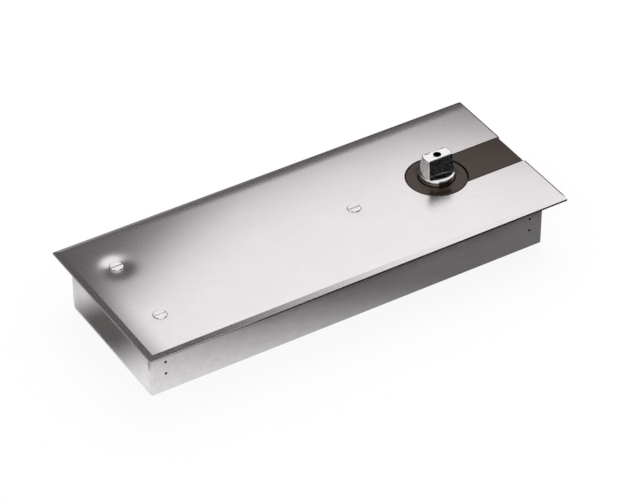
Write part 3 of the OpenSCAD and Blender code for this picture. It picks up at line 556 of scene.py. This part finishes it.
FINISHES: dict[str, Finish] = {
    "stainless_plate": WorkedMetal("brushed_stainless", (0.90, 0.865, 0.875), (0.84, 0.805, 0.815),
                                   0.27, 0.03, Grain.LENGTHWISE, 0.0012 * MM, 0.3,
                                   (Dimple((-0.1345, -0.0292, 0.043), 4.0 * MM, 0.12 * MM),
                                    Dimple((-0.1345, 0.0292, 0.043), 5.8 * MM, 2.6 * MM),
                                    Dimple((0.0328, 0.0, 0.043), 4.0 * MM, 0.12 * MM))),
    "stainless_screws": WorkedMetal("polished_stainless", (0.90, 0.89, 0.89), (0.78, 0.77, 0.77),
                                    0.20, 0.04, Grain.EVEN, 0.002 * MM, 0.3,
                                    (Dimple((-0.1289, 0.0186, 0.043), 12.0 * MM, 3.8 * MM),)),
    "galvanised_sheet": ZincSheet("zinc_sheet", (0.84, 0.82, 0.83), (0.72, 0.70, 0.71), 0.22, 0.05),
    "dark_trim": MouldedSkin("brown_trim", (0.016, 0.009, 0.006), (0.026, 0.016, 0.012), 0.24, 0.04,
                             1800.0, 0.003 * MM, shine=0.60, tint=(1.0, 0.80, 0.70)),
    # The spindle's bore gets painted shade: its inside is darkened.
    "spindle_steel": WorkedMetal("nickel_steel", (0.94, 0.93, 0.93), (0.82, 0.81, 0.81), 0.12, 0.03,
                                 Grain.TURNED, 0.002 * MM, 0.35, bore=((0.0995, 0.0, 0.0), 2.84 * MM)),
    "cast_housing": MouldedSkin("cast_housing", (0.16, 0.17, 0.18), (0.24, 0.25, 0.26), 0.62, 0.08,
                                700.0, 0.08 * MM),
    "cast_lid": MouldedSkin("cast_lid", (0.24, 0.25, 0.26), (0.32, 0.33, 0.34), 0.55, 0.08,
                            900.0, 0.05 * MM),
    "zinc_steel": ZincSheet("zinc_steel", (0.72, 0.72, 0.74), (0.52, 0.52, 0.53), 0.38, 0.06, 600.0),
    "black_steel": MouldedSkin("black_oxide", (0.03, 0.03, 0.033), (0.07, 0.068, 0.066), 0.42, 0.06,
                               2400.0, 0.004 * MM, 0.0, 0.6),
    "ground_steel": WorkedMetal("ground_steel", (0.66, 0.66, 0.68), (0.48, 0.48, 0.50), 0.22, 0.05,
                                Grain.TURNED, 0.002 * MM, 0.3),
    "turned_steel": WorkedMetal("turned_steel", (0.56, 0.56, 0.58), (0.36, 0.36, 0.37), 0.34, 0.06,
                                Grain.ALONG_BARREL, 0.005 * MM, 0.4),
    "bearing_bronze": WorkedMetal("sintered_bronze", (0.66, 0.45, 0.21), (0.42, 0.27, 0.12), 0.42,
                                  0.06, Grain.EVEN, 0.01 * MM, 0.4),
    "valve_brass": WorkedMetal("turned_brass", (0.80, 0.62, 0.28), (0.60, 0.44, 0.18), 0.26, 0.05,
                               Grain.TURNED, 0.003 * MM, 0.3),
    "seal_rubber": MouldedSkin("seal_rubber", (0.018, 0.018, 0.018), (0.045, 0.043, 0.042), 0.6,
                               0.08, 2600.0, 0.004 * MM),
    "gasket_fibre": MouldedSkin("gasket_fibre", (0.07, 0.10, 0.085), (0.13, 0.15, 0.13), 0.85, 0.05,
                                3000.0, 0.02 * MM),
    "spring_steel": WorkedMetal("spring_wire", (0.34, 0.35, 0.38), (0.18, 0.18, 0.20), 0.38, 0.06,
                                Grain.EVEN, 0.006 * MM, 0.5),
}


class FinishShop:
    """Builds each slot's material once and dresses pieces with it."""

    def __init__(self, record: dict) -> None:
        """Reads which slot each node has.

        Args:
            record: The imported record.
        """
        self.slot_of = {entry["node"]: entry["material_slot"] for entry in record["subparts"]}
        self.groups = ShaderGroups.build()
        self.built: dict[str, bpy.types.Material] = {}

    def material(self, slot: str) -> bpy.types.Material:
        """Returns the material of a slot, built at its first use."""
        if slot not in self.built:
            self.built[slot] = FINISHES[slot].build(self.groups)
        return self.built[slot]

    def dress(self, piece: bpy.types.Object, slot: str) -> None:
        """Gives a piece one material and no other.

        Args:
            piece: The object.
            slot: The record's material slot.
        """
        piece.data.materials.clear()
        piece.data.materials.append(self.material(slot))

    def hand_in(self, piece: bpy.types.Object, body: str, *nodes: str) -> None:
        """Dresses a new piece like the nodes it stands for and lets it ride.

        Args:
            piece: The new piece.
            body: The body that carries it.
            *nodes: The nodes it replaces, the first of which gives the finish.
        """
        slot = self.slot_of[nodes[0]]
        self.dress(piece, slot)
        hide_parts(*nodes)
        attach(piece, body)
        LOG.info("%s stands for %s on %s", piece.name, ", ".join(nodes), body)


# ---------------------------------------------------------------------------------------------
# Sub-assemblies


@dataclass
class SofterEdges:
    """A piece of the frame with its sharp edges rounded as sheet and machined edges are."""

    node: str
    body: str
    radius: float
    sharp_angle: float = math.radians(15)
    flat_angle: float = math.radians(0.5)
    weld: float = 0.0005 * MM
    segments: int = 2

    def reshape(self, work: bmesh.types.BMesh) -> None:
        """Leaves the shape as it is; pieces with a finer shape than the frame's change it here."""

    def build(self, shop: FinishShop) -> bpy.types.Object:
        """Copies the node, welds it, clears its flat faces and rounds its edges.

        Args:
            shop: Where the piece gets its finish.

        Returns:
            The new piece.
        """
        mesh = frame["nodes"][self.node].data.copy()
        mesh.name = f"{self.node}_soft"
        work = bmesh.new()
        work.from_mesh(mesh)
        bmesh.ops.remove_doubles(work, verts=work.verts, dist=self.weld)
        bmesh.ops.dissolve_limit(work, angle_limit=self.flat_angle, verts=work.verts,
                                 edges=work.edges)
        self.reshape(work)
        work.to_mesh(mesh)
        work.free()
        piece = shaded_object(f"{self.node}_soft", mesh, self.sharp_angle)
        bevel = piece.modifiers.new("rounded_edges", "BEVEL")
        bevel.width = self.radius
        bevel.segments = self.segments
        bevel.limit_method = "ANGLE"
        bevel.angle_limit = self.sharp_angle
        bevel.harden_normals = True
        bevel.use_clamp_overlap = True
        shop.hand_in(piece, self.body, self.node)
        return piece


@dataclass
class ScrewHeads(SofterEdges):
    """Cover screws with domed heads that fall steeply at the rim, and with fine slots."""

    places: tuple[Point, ...] = ((-0.1345, -0.0292, 0.0), (-0.1345, 0.0292, 0.0), (0.0328, 0.0, 0.0))
    head_r: float = 4.75 * MM
    slot_half: float = 0.55 * MM
    fine_slot_half: float = 0.42 * MM
    crown: float = 0.42 * MM
    shares: tuple[float, ...] = (0.0, 0.585, 0.724, 0.863, 1.0)
    reach: tuple[float, ...] = (0.0, 0.82, 0.935, 0.992, 1.0)
    rise: tuple[float, ...] = (1.0, 0.98, 0.90, 0.67, 0.0)
    slot_slack: float = 0.01 * MM
    plate_slack: float = 0.001 * MM
    slot_core: float = 0.1 * MM

    def reshape(self, work: bmesh.types.BMesh) -> None:
        """Moves the dome's rings outwards and lowers them, and narrows the slot.

        A ring at a share of the head's radius goes to the reach of that share, at the crown's
        height times the rise of that share. Points on the slot keep their distance from its
        middle line, which shrinks with the slot.

        Args:
            work: The welded mesh of the screws.
        """
        plate_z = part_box("cover_plate")[1].z
        for vert in work.verts:
            centre = min(self.places, key=lambda p: math.hypot(vert.co.x - p[0], vert.co.y - p[1]))
            x, y = vert.co.x - centre[0], vert.co.y - centre[1]
            on_slot = abs(y) < self.slot_half + self.slot_slack
            if vert.co.z > plate_z - self.plate_slack:
                radius = math.hypot(x, y)
                share = min(radius / self.head_r, 1.0)
                wide = self.head_r * float(np.interp(share, self.shares, self.reach))
                vert.co.z = plate_z + self.crown * float(np.interp(share, self.shares, self.rise))
                if on_slot:
                    x = math.copysign(math.sqrt(max(wide * wide - y * y, 0.0)), x)
                else:
                    x, y = x * wide / radius, y * wide / radius
            if on_slot and abs(y) > self.slot_core:
                y *= self.fine_slot_half / self.slot_half
            vert.co.x, vert.co.y = centre[0] + x, centre[1] + y


@dataclass
class TaperSpindle:
    """The spindle: journals, cam seat with its keyway, round base and two-flat taper."""

    axis_x: float
    foot_z: float
    top_z: float
    base_r: float
    foot_journal_r: float = 7.0 * MM
    cam_seat_r: float = 8.5 * MM
    journal_r: float = 10.0 * MM
    cam_z0: float = 15.3 * MM
    cam_z1: float = 25.3 * MM
    base_z0: float = 39.1 * MM
    taper_h: float = 14.4 * MM
    taper_foot_r: float = 12.0 * MM
    taper_top_r: float = 10.4 * MM
    flat_foot: float = 6.7 * MM
    flat_top: float = 4.6 * MM
    hole_r: float = 2.7 * MM
    hole_depth: float = 16.0 * MM
    sink: float = 0.15 * MM
    key_half: float = 2.0 * MM
    edge: float = 0.4 * MM
    ledge_w: float = 0.5 * MM
    ledge_h: float = 2.8 * MM
    rim: float = 0.7 * MM
    corner: float = 0.12 * MM
    around: int = 192
    taper_rows: int = 40

    @classmethod
    def from_frame(cls) -> "TaperSpindle":
        """Takes the axis, heights and base from the frame."""
        low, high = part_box("spindle")
        return cls(axis_x=(low.x + high.x) / 2, foot_z=low.z, top_z=high.z, base_r=(high.x - low.x) / 2)

    @property
    def base_z1(self) -> float:
        """Height of the ledge between the round base and the taper."""
        return self.top_z - self.taper_h

    def corner_angle(self, share: np.ndarray) -> np.ndarray:
        """Angle from +X at which the cone meets a flat, at a share of the taper's height."""
        flat = self.flat_foot + (self.flat_top - self.flat_foot) * share
        cone = self.taper_foot_r + (self.taper_top_r - self.taper_foot_r) * share
        return np.arcsin(flat / cone)

    def directions(self, share: np.ndarray) -> np.ndarray:
        """Angles of each ring's points, so that one column of points follows each corner.

        A quarter of the points goes to each of the two round sides and the two flats. Within a
        side the angles are evenly spaced between its corners.

        Args:
            share: Share of the taper's height for each ring.

        Returns:
            Angles with the shape (rings, around).
        """
        corner = self.corner_angle(share)[:, None]
        quarter = self.around // 4
        step = np.arange(quarter) / quarter
        sides = [(-corner, corner), (corner, np.pi - corner), (np.pi - corner, np.pi + corner),
                 (np.pi + corner, 2 * np.pi - corner)]
        return np.concatenate([a + (b - a) * step for a, b in sides], axis=1)

    def taper_radius(self, share: np.ndarray, angle: np.ndarray) -> np.ndarray:
        """Distance from the axis: the smaller of the cone's and the flat's, softly joined.

        The soft minimum of a and b over a width w is b + (a - b) h - w h (1 - h), where h runs
        from 0 to 1 as b - a runs from -w to w.
        """
        cone = self.taper_foot_r + (self.taper_top_r - self.taper_foot_r) * share[:, None]
        flat = (self.flat_foot + (self.flat_top - self.flat_foot) * share[:, None])
        flat = flat / np.maximum(np.abs(np.sin(angle)), 1e-3)
        h = np.clip(0.5 + 0.5 * (flat - cone) / self.corner, 0, 1)
        return flat + (cone - flat) * h - self.corner * h * (1 - h)

    def round_rings(self, angle: np.ndarray) -> tuple[list[float], list[np.ndarray]]:
        """Heights and radii of the turned part below the taper, with the keyway cut in.

        The base rounds into the ledge along a quarter of a tall ellipse.

        Args:
            angle: Directions of a ring's points.

        Returns:
            The heights and, for each height, the radii around the ring.
        """
        ring = np.ones_like(angle)
        depth = (self.cam_seat_r - self.key_half) / np.maximum(-np.cos(angle), 1e-3)
        in_key = (np.cos(angle) < 0) & (np.abs(np.sin(angle)) * self.cam_seat_r < self.key_half)
        keyed = np.where(in_key, np.minimum(depth, self.cam_seat_r), self.cam_seat_r)
        c = self.edge
        steps = [(self.foot_z, ring * (self.foot_journal_r - c)),
                 (self.foot_z + c, ring * self.foot_journal_r),
                 (self.cam_z0, ring * self.foot_journal_r), (self.cam_z0, keyed),
                 (self.cam_z1, keyed), (self.cam_z1, ring * self.journal_r),
                 (self.base_z0, ring * self.journal_r), (self.base_z0, ring * (self.base_r - c / 2)),
                 (self.base_z0 + c / 2, ring * self.base_r)]
        wide, high = self.ledge_w, self.ledge_h
        steps += [(self.base_z1 + high * (math.sin(t) - 1), ring * (self.base_r + wide * (math.cos(t) - 1)))
                  for t in np.linspace(0, np.pi / 2, 9)]
        return [z for z, _ in steps], [r for _, r in steps]

    def rings(self) -> np.ndarray:
        """Stacks the turned part, the taper, its rounded rim and the arm screw's hole."""
        share = np.linspace(0, 1, self.taper_rows)
        foot_angle = self.directions(np.zeros(1))[0]
        heights, radii = self.round_rings(foot_angle)
        angles = [foot_angle] * len(heights)
        top_angle = self.directions(np.ones(1))[0]
        rim = self.rim
        taper_angle = self.directions(share)
        taper = self.taper_radius(share, taper_angle)
        for row in range(self.taper_rows):
            heights.append(self.base_z1 + share[row] * (self.taper_h - rim))
            radii.append(taper[row])
            angles.append(taper_angle[row])
        for t in np.linspace(0, np.pi / 2, 5)[1:]:
            heights.append(self.top_z - rim + rim * math.sin(t))
            radii.append(taper[-1] - rim + rim * math.cos(t))
            angles.append(top_angle)
        for radius, drop in ((self.hole_r + self.sink + 0.1 * MM, 0.0),
                             (self.hole_r + self.sink, 0.03 * MM), (self.hole_r, self.sink),
                             (self.hole_r, self.hole_depth)):
            heights.append(self.top_z - drop)
            radii.append(np.full(self.around, radius))
            angles.append(top_angle)
        radius, angle = np.array(radii), np.array(angles)
        z = np.repeat(np.array(heights)[:, None], self.around, axis=1)
        return np.stack([self.axis_x + radius * np.cos(angle), radius * np.sin(angle), z], -1)

    def build(self, shop: FinishShop) -> bpy.types.Object:
        """Builds the spindle as one closed shell that turns with its body."""
        first = np.array([self.axis_x, 0, self.foot_z])
        last = np.array([self.axis_x, 0, self.top_z - self.hole_depth])
        piece = tube_of_rings("taper_spindle", self.rings(), first, last)
        shop.hand_in(piece, "spindle", "spindle")
        return piece


@dataclass
class Rosette:
    """Dark dished ring round the spindle, with a rolled outer edge and a soft inner lip."""

    axis_x: float
    outer_r: float
    foot_z: float
    top_z: float
    inner_r: float = 13.0 * MM
    drop: float = 1.3 * MM
    rise: float = 0.45 * MM
    flange_w: float = 2.0 * MM
    flange_t: float = 1.2 * MM
    roll: float = 0.8 * MM
    lip: float = 0.4 * MM
    around: int = 256

    @classmethod
    def from_frame(cls) -> "Rosette":
        """Takes the axis, width and heights from the frame."""
        low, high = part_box("rosette")
        return cls(axis_x=(low.x + high.x) / 2, outer_r=(high.x - low.x) / 2, foot_z=low.z, top_z=high.z)

    def profile(self) -> np.ndarray:
        """Radius and height round the ring's section, counter-clockwise from the inner foot.

        The upper face falls from the lip to the edge as the third power of the share of its width
        still to go, so that it is flat outside and dished inside. Both edges are quarter circles.

        Returns:
            Points of the closed section, one row each.
        """
        rim_r = self.outer_r - self.flange_w
        edge_z = self.top_z - self.drop
        quarter = np.linspace(0, np.pi / 2, 6)
        outer = np.stack([rim_r - self.roll + self.roll * np.cos(quarter),
                          edge_z - self.roll + self.roll * np.sin(quarter)], -1)
        share = np.linspace(0, 1, 24)[1:-1]
        lip_r = self.inner_r + 2 * self.lip
        start_r = rim_r - self.roll
        dish = np.stack([start_r + (lip_r - start_r) * share,
                         edge_z + self.rise * share ** 3], -1)
        inner = np.stack([self.inner_r + self.lip - self.lip * np.sin(quarter),
                          edge_z + self.rise - self.lip * (1 - np.cos(quarter))], -1)
        flange_z = self.foot_z + self.flange_t
        foot = [[self.inner_r, self.foot_z], [self.outer_r, self.foot_z], [self.outer_r, flange_z],
                [rim_r, flange_z]]
        return np.concatenate([foot, outer, dish, inner])

    def build(self, shop: FinishShop) -> bpy.types.Object:
        """Turns the section round the spindle's axis."""
        profile = self.profile()
        angle = np.linspace(0, 2 * np.pi, self.around, endpoint=False)
        radius, height = profile[:, :1], profile[:, 1:]
        rings = np.stack([self.axis_x + radius * np.cos(angle), radius * np.sin(angle),
                          height + 0 * angle], -1)
        closed = np.concatenate([rings, rings[:1]])
        count = len(rings)
        quads = ring_faces(count + 1, self.around) % (count * self.around)
        piece = build_mesh("dished_rosette", closed[:-1].reshape(-1, 3), quads, np.zeros((0, 3), int))
        shop.hand_in(piece, "housing", "rosette")
        return piece


@dataclass
class ClosingSpring:
    """Coiled compression spring round the pull rod, with closed end turns."""

    start_x: float
    end_x: float
    axis_z: float
    outer_r: float
    travel: float
    wire_r: float = 2.1 * MM
    rod_r: float = 5.0 * MM
    closed_pitch: float = 2.04
    turns: int = 12
    per_turn: int = 48
    around: int = 16

    @classmethod
    def from_frame(cls) -> "ClosingSpring":
        """Takes the ends and the radius from the frame, and the travel from the carriage."""
        low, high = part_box("closing_spring")
        slide = next(j for j in frame["joints"] if j["name"] == "carriage_slide")
        return cls(start_x=low.x, end_x=high.x, axis_z=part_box("pull_rod")[0].z + cls.rod_r,
                   outer_r=high.y, travel=slide["range_m"][1])

    def advance(self, turn: np.ndarray) -> np.ndarray:
        """Place along the barrel after a number of turns: slow, then even, then slow again.

        The first and last turns are closed: they advance by little more than the wire's width,
        which closed_pitch gives in wire radii.
        """
        length = self.end_x - self.start_x - 2 * self.wire_r
        dead = self.closed_pitch * self.wire_r
        pitch = (length - 2 * dead) / (self.turns - 2)
        middle = np.clip(turn - 1, 0, self.turns - 2)
        return dead * np.clip(turn, 0, 1) + pitch * middle + dead * np.clip(turn - self.turns + 1, 0, 1)

    def build(self, shop: FinishShop) -> bpy.types.Object:
        """Sweeps the round wire along the helix.

        The wire's centre circles the axis once a turn while it advances. Its section is a circle
        of which one direction is radial and the other lies along the barrel.
        """
        turn = np.linspace(0, self.turns, self.turns * self.per_turn + 1)[:, None]
        angle = 2 * np.pi * turn
        section = np.linspace(0, 2 * np.pi, self.around, endpoint=False)[None, :]
        coil_r = self.outer_r - self.wire_r
        radius = coil_r + self.wire_r * np.cos(section)
        x = self.start_x + self.wire_r + self.advance(turn) + self.wire_r * np.sin(section)
        rings = np.stack([x, radius * np.cos(angle), self.axis_z + radius * np.sin(angle)], -1)
        piece = tube_of_rings("coil_spring", rings, rings[0].mean(0), rings[-1].mean(0))
        shop.hand_in(piece, "housing", "closing_spring")
        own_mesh(piece)
        return piece


@dataclass
class Housing:
    """The fixed pieces that show: box, cover plate, screws and slot insert."""

    edges: dict[str, float] = field(default_factory=lambda: {
        "cement_box": 0.45 * MM, "cover_plate": 0.12 * MM, "slot_insert": 0.2 * MM})
    screw_edge: float = 0.06 * MM

    def build(self, shop: FinishShop) -> None:
        """Rounds each piece's edges by its own radius."""
        for node, radius in self.edges.items():
            SofterEdges(node, "housing", radius).build(shop)
        ScrewHeads("cover_screws", "housing", self.screw_edge).build(shop)


@dataclass
class InnerWorks:
    """The pieces under the cover, which keep the frame's shapes."""

    replaced: tuple[str, ...] = ("cement_box", "cover_plate", "cover_screws", "slot_insert",
                                 "spindle", "rosette", "closing_spring")

    def build(self, shop: FinishShop) -> None:
        """Dresses each node that no new piece stands for."""
        for node, piece in frame["nodes"].items():
            if node not in self.replaced:
                shop.dress(piece, shop.slot_of[node])
                LOG.info("%s dressed as %s", node, shop.slot_of[node])


# ---------------------------------------------------------------------------------------------
# Studio


@dataclass(frozen=True)
class ProductCamera:
    """Long lens on the object, by its azimuth, elevation and roll."""

    aim: Point = (0.0049, -0.0033, 0.0207)
    azimuth: float = math.radians(-31.94)
    elevation: float = math.radians(38.45)
    roll: float = math.radians(0.14)
    distance: float = 2.17
    lens: float = 179.786

    def build(self) -> bpy.types.Object:
        """Places the camera on a sphere round the point that it looks at.

        Returns:
            The camera, which is also made the scene's camera.
        """
        data = bpy.data.cameras.new("product_camera")
        data.lens = self.lens
        data.sensor_width = 36.0
        data.sensor_fit = "HORIZONTAL"
        data.clip_start = 0.05
        data.clip_end = 20.0
        flat = math.cos(self.elevation)
        away = Vector((flat * math.sin(self.azimuth), -flat * math.cos(self.azimuth),
                       math.sin(self.elevation)))
        camera = bpy.data.objects.new("product_camera", data)
        turn = away.to_track_quat("Z", "Y").to_matrix().to_4x4()
        place = Matrix.Translation(Vector(self.aim) + self.distance * away)
        camera.matrix_world = place @ turn @ Matrix.Rotation(self.roll, 4, "Z")
        bpy.context.scene.collection.objects.link(camera)
        bpy.context.scene.camera = camera
        return camera


@dataclass(frozen=True)
class Softbox:
    """A rectangular lamp that faces a point on the object and never shows itself."""

    name: str
    place: Point
    width: float
    height: float
    watts: float
    aim: Point = (0.0, 0.0, 0.03)

    def build(self) -> bpy.types.Object:
        """Makes the area lamp.

        Returns:
            The lamp, which the camera and polished surfaces don't see.
        """
        data = bpy.data.lights.new(self.name, "AREA")
        data.shape = "RECTANGLE"
        data.size = self.width
        data.size_y = self.height
        data.energy = self.watts
        lamp = bpy.data.objects.new(self.name, data)
        away = Vector(self.place) - Vector(self.aim)
        lamp.matrix_world = Matrix.Translation(self.place) @ away.to_track_quat("Z", "Y").to_matrix().to_4x4()
        lamp.visible_camera = False
        lamp.visible_glossy = False
        bpy.context.scene.collection.objects.link(lamp)
        LOG.info("lamp %s at %s", self.name, self.place)
        return lamp


def bare_material(name: str) -> tuple[bpy.types.Material, Sheet]:
    """Makes a material without a shader and the sheet of its tree."""
    material = bpy.data.materials.new(name)
    material.use_nodes = True
    material.node_tree.nodes.remove(material.node_tree.nodes["Principled BSDF"])
    return material, Sheet(material.node_tree)


@dataclass(frozen=True)
class SoftCard:
    """A flat studio card that only polished surfaces see, with edges that fade away.

    The card starts at a corner and reaches along two vectors. Its edges fade over a share of
    each vector: at the start and end of the run, then at the start and end of the span.
    """

    name: str
    corner: Point
    run: Point
    span: Point
    level: float
    fade: tuple[float, float, float, float] = (0.0, 0.0, 0.0, 0.0)
    tone: Colour = (1.0, 0.93, 0.92)
    opacity: float = 1.0

    def edge(self, sheet: Sheet, share: bpy.types.NodeSocket, start: float,
             end: float) -> bpy.types.NodeSocket:
        """Opacity over one of the vectors: rises over its start and falls over its end."""
        rise = sheet.add("ShaderNodeMapRange", {"interpolation_type": "SMOOTHSTEP"}, i0=share,
                         i1=0.0, i2=max(start, 1e-4))
        fall = sheet.add("ShaderNodeMapRange", {"interpolation_type": "SMOOTHSTEP"}, i0=share,
                         i1=1.0, i2=1.0 - max(end, 1e-4))
        return sheet.maths("MULTIPLY", rise.outputs[0], fall.outputs[0])

    def material(self) -> bpy.types.Material:
        """Plain glow under a mask; the mask's shares are dot products with the two vectors."""
        material, sheet = bare_material(self.name)
        offset = sheet.add("ShaderNodeVectorMath", {"operation": "SUBTRACT"}, i0=sheet.object_place(),
                           i1=self.corner).outputs[0]
        masks = []
        for vector, start, end in ((self.run, *self.fade[:2]), (self.span, *self.fade[2:])):
            unit = Vector(vector) / Vector(vector).length_squared
            share = sheet.add("ShaderNodeVectorMath", {"operation": "DOT_PRODUCT"}, i0=offset,
                              i1=tuple(unit)).outputs["Value"]
            masks.append(self.edge(sheet, share, start, end))
        mask = sheet.maths("MULTIPLY", sheet.maths("MULTIPLY", *masks), self.opacity)
        glow = sheet.add("ShaderNodeEmission", Color=(*self.tone, 1), Strength=self.level)
        clear = sheet.add("ShaderNodeBsdfTransparent")
        mixed = sheet.add("ShaderNodeMixShader", i0=mask, i1=clear.outputs[0], i2=glow.outputs[0])
        sheet.tree.links.new(mixed.outputs[0], sheet.tree.nodes["Material Output"].inputs["Surface"])
        return material

    def build(self) -> bpy.types.Object:
        """Makes the card as one quad.

        Returns:
            The card, a piece of the stage that neither the camera nor plain surfaces see.
        """
        corner, run, span = (np.array(v) for v in (self.corner, self.run, self.span))
        points = np.array([corner, corner + run, corner + run + span, corner + span])
        card = build_mesh(self.name, points, np.array([[0, 1, 2, 3]]), np.zeros((0, 3), int))
        card.data.materials.append(self.material())
        card.visible_camera = False
        card.visible_diffuse = False
        card.visible_transmission = False
        card.visible_shadow = False
        LOG.info("card %s", self.name)
        return card


CARDS: tuple[SoftCard, ...] = (
    SoftCard("back_card", (-0.45, 0.150, 0.150), (1.2, 0.0, 0.0), (0.0, 0.5, 0.0), 0.11,
             (0.0, 0.0, 0.10, 0.0), opacity=0.9),
    SoftCard("corner_card", (-0.4120, -0.0772, 0.156), (0.7063, 0.3756, 0.0), (-0.2348, 0.4415, 0.0),
             0.11, (0.0, 0.0, 0.088, 0.0)),
    SoftCard("right_corner_card", (-0.0035, 0.3048, 0.162), (0.3802, -0.3247, 0.0),
             (0.2922, 0.3422, 0.0), 0.11, (0.0, 0.0, 0.230, 0.0)),
    SoftCard("back_strip", (-0.30, 0.066, 0.053), (0.60, 0.0, 0.0), (0.0, 0.014, 0.0), 0.115),
    SoftCard("end_strip", (-0.138, -0.060, 0.054), (-0.025, 0.0, 0.0), (0.0, 0.15, 0.0), 0.115,
             (0.8, 0.0, 0.0, 0.0), opacity=0.6),
    SoftCard("end_rim_card", (-0.29, -0.01, 0.174), (0.15, 0.0, 0.0), (0.0, 0.24, 0.0), 0.09,
             (0.0, 0.15, 0.1, 0.0)),
    SoftCard("rim_card", (-0.34, -0.100, 0.168), (0.47, 0.0, 0.0), (0.0, 0.075, 0.0), 0.04,
             (0.0, 0.46, 0.0, 0.05)),
    SoftCard("back_rim_card", (-0.75, 0.12, 0.0), (1.5, 0.0, 0.0), (0.0, 0.0, 0.09), 0.10,
             (0.62, 0.0, 0.0, 0.0)),
    SoftCard("wall_card", (-0.2535, -0.0842, 0.0004), (0.07, -0.1872, 0.0), (0.75, 0.2805, 0.0),
             0.17, (0.48, 0.0, 0.0, 0.0), (1.0, 0.96, 1.0)),
    SoftCard("under_rim_card", (-0.10, -0.0838, 0.0008), (0.60, 0.0, 0.0), (0.0, -0.30, 0.0), 0.01,
             (0.1, 0.0, 0.0, 0.0)),
    SoftCard("end_wall_card", (-0.1575, -0.038, 0.0004), (-0.4, 0.0, 0.0), (0.0, 0.116, 0.0), 0.12,
             (0.0, 0.0, 0.43, 0.39)),
    SoftCard("end_far_card", (-0.1575, 0.055, 0.0006), (-0.4, 0.0, 0.0), (0.0, 0.30, 0.0), 0.12,
             (0.0, 0.0, 0.1, 0.0), opacity=0.4),
    SoftCard("end_lip_card", (-0.179, -0.09, 0.0010), (-0.3, 0.0, 0.0), (0.0, 0.34, 0.0), 0.30),
    SoftCard("spindle_card", (0.03, -0.20, 0.05), (0.67, 0.0, 0.0), (0.0, 0.0, 0.85), 0.002),
)


@dataclass(frozen=True)
class Studio:
    """White table and room with soft lamps and cards."""

    table_half: float = 3.0
    table_tone: float = 0.80
    table_glow: float = 0.86
    shadow_tone: float = 0.17
    room_level: float = 0.55
    lamps: tuple[Softbox, ...] = (
        Softbox("sky_softbox", (0.55, 0.55, 1.4), 1.4, 1.4, 8.5),
        Softbox("front_fill", (-1.0, -0.9, 1.3), 1.0, 1.0, 3.5),
    )

    @staticmethod
    def seen_directly(sheet: Sheet) -> bpy.types.NodeSocket:
        """Returns 1 for camera, glossy and transmission rays and 0 for diffuse ones."""
        path = sheet.add("ShaderNodeLightPath")
        glossy = sheet.maths("MAXIMUM", path.outputs["Is Camera Ray"], path.outputs["Is Glossy Ray"])
        return sheet.maths("MAXIMUM", glossy, path.outputs["Is Transmission Ray"])

    def build_table(self) -> bpy.types.Object:
        """Lays the table: white where it is seen, with the object's shadow kept on it."""
        half = self.table_half
        corners = np.array([[-half, -half, 0], [half, -half, 0], [half, half, 0], [-half, half, 0]])
        table = build_mesh("table", corners - [0, 0, 0.02 * MM], np.array([[0, 1, 2, 3]]),
                           np.zeros((0, 3), int))
        material, sheet = bare_material("white_table")
        plain = sheet.add("ShaderNodeBsdfDiffuse", Color=(self.table_tone,) * 3 + (1,))
        glow = sheet.add("ShaderNodeEmission", Color=(1, 1, 1, 1), Strength=self.table_glow)
        faint = sheet.add("ShaderNodeBsdfDiffuse", Color=(self.shadow_tone,) * 3 + (1,))
        shown = sheet.add("ShaderNodeAddShader", i0=glow.outputs[0], i1=faint.outputs[0])
        mixed = sheet.add("ShaderNodeMixShader", i0=self.seen_directly(sheet), i1=plain.outputs[0],
                          i2=shown.outputs[0])
        sheet.tree.links.new(mixed.outputs[0], sheet.tree.nodes["Material Output"].inputs["Surface"])
        table.data.materials.append(material)
        return table

    def build_room(self) -> None:
        """Sets the world: white where it is seen and a plain level for diffuse light."""
        world = bpy.data.worlds.new("white_room")
        world.use_nodes = True
        bpy.context.scene.world = world
        sheet = Sheet(world.node_tree)
        nodes = world.node_tree.nodes
        shown = sheet.add("ShaderNodeBackground", Color=(1, 1, 1, 1), Strength=1.0)
        plain = nodes["Background"]
        plain.inputs["Color"].default_value = (self.room_level,) * 3 + (1,)
        plain.inputs["Strength"].default_value = 1.0
        mixed = sheet.add("ShaderNodeMixShader", i0=self.seen_directly(sheet), i1=plain.outputs[0],
                          i2=shown.outputs[0])
        sheet.tree.links.new(mixed.outputs[0], nodes["World Output"].inputs["Surface"])

    def build(self) -> None:
        """Builds room, table, lamps and cards and sets the view transform."""
        bpy.context.scene.view_settings.view_transform = "Standard"
        self.build_room()
        self.build_table()
        for piece in (*self.lamps, *CARDS):
            piece.build()


# ---------------------------------------------------------------------------------------------


def main() -> None:
    """Builds the studio, then every sub-assembly."""
    logging.basicConfig(level=logging.INFO, format="%(name)s: %(message)s")
    ProductCamera().build()
    Studio().build()
    shop = FinishShop(frame["record"])
    InnerWorks().build(shop)
    Housing().build(shop)
    TaperSpindle.from_frame().build(shop)
    Rosette.from_frame().build(shop)
    ClosingSpring.from_frame().build(shop)


if __name__ == "__main__":
    main()
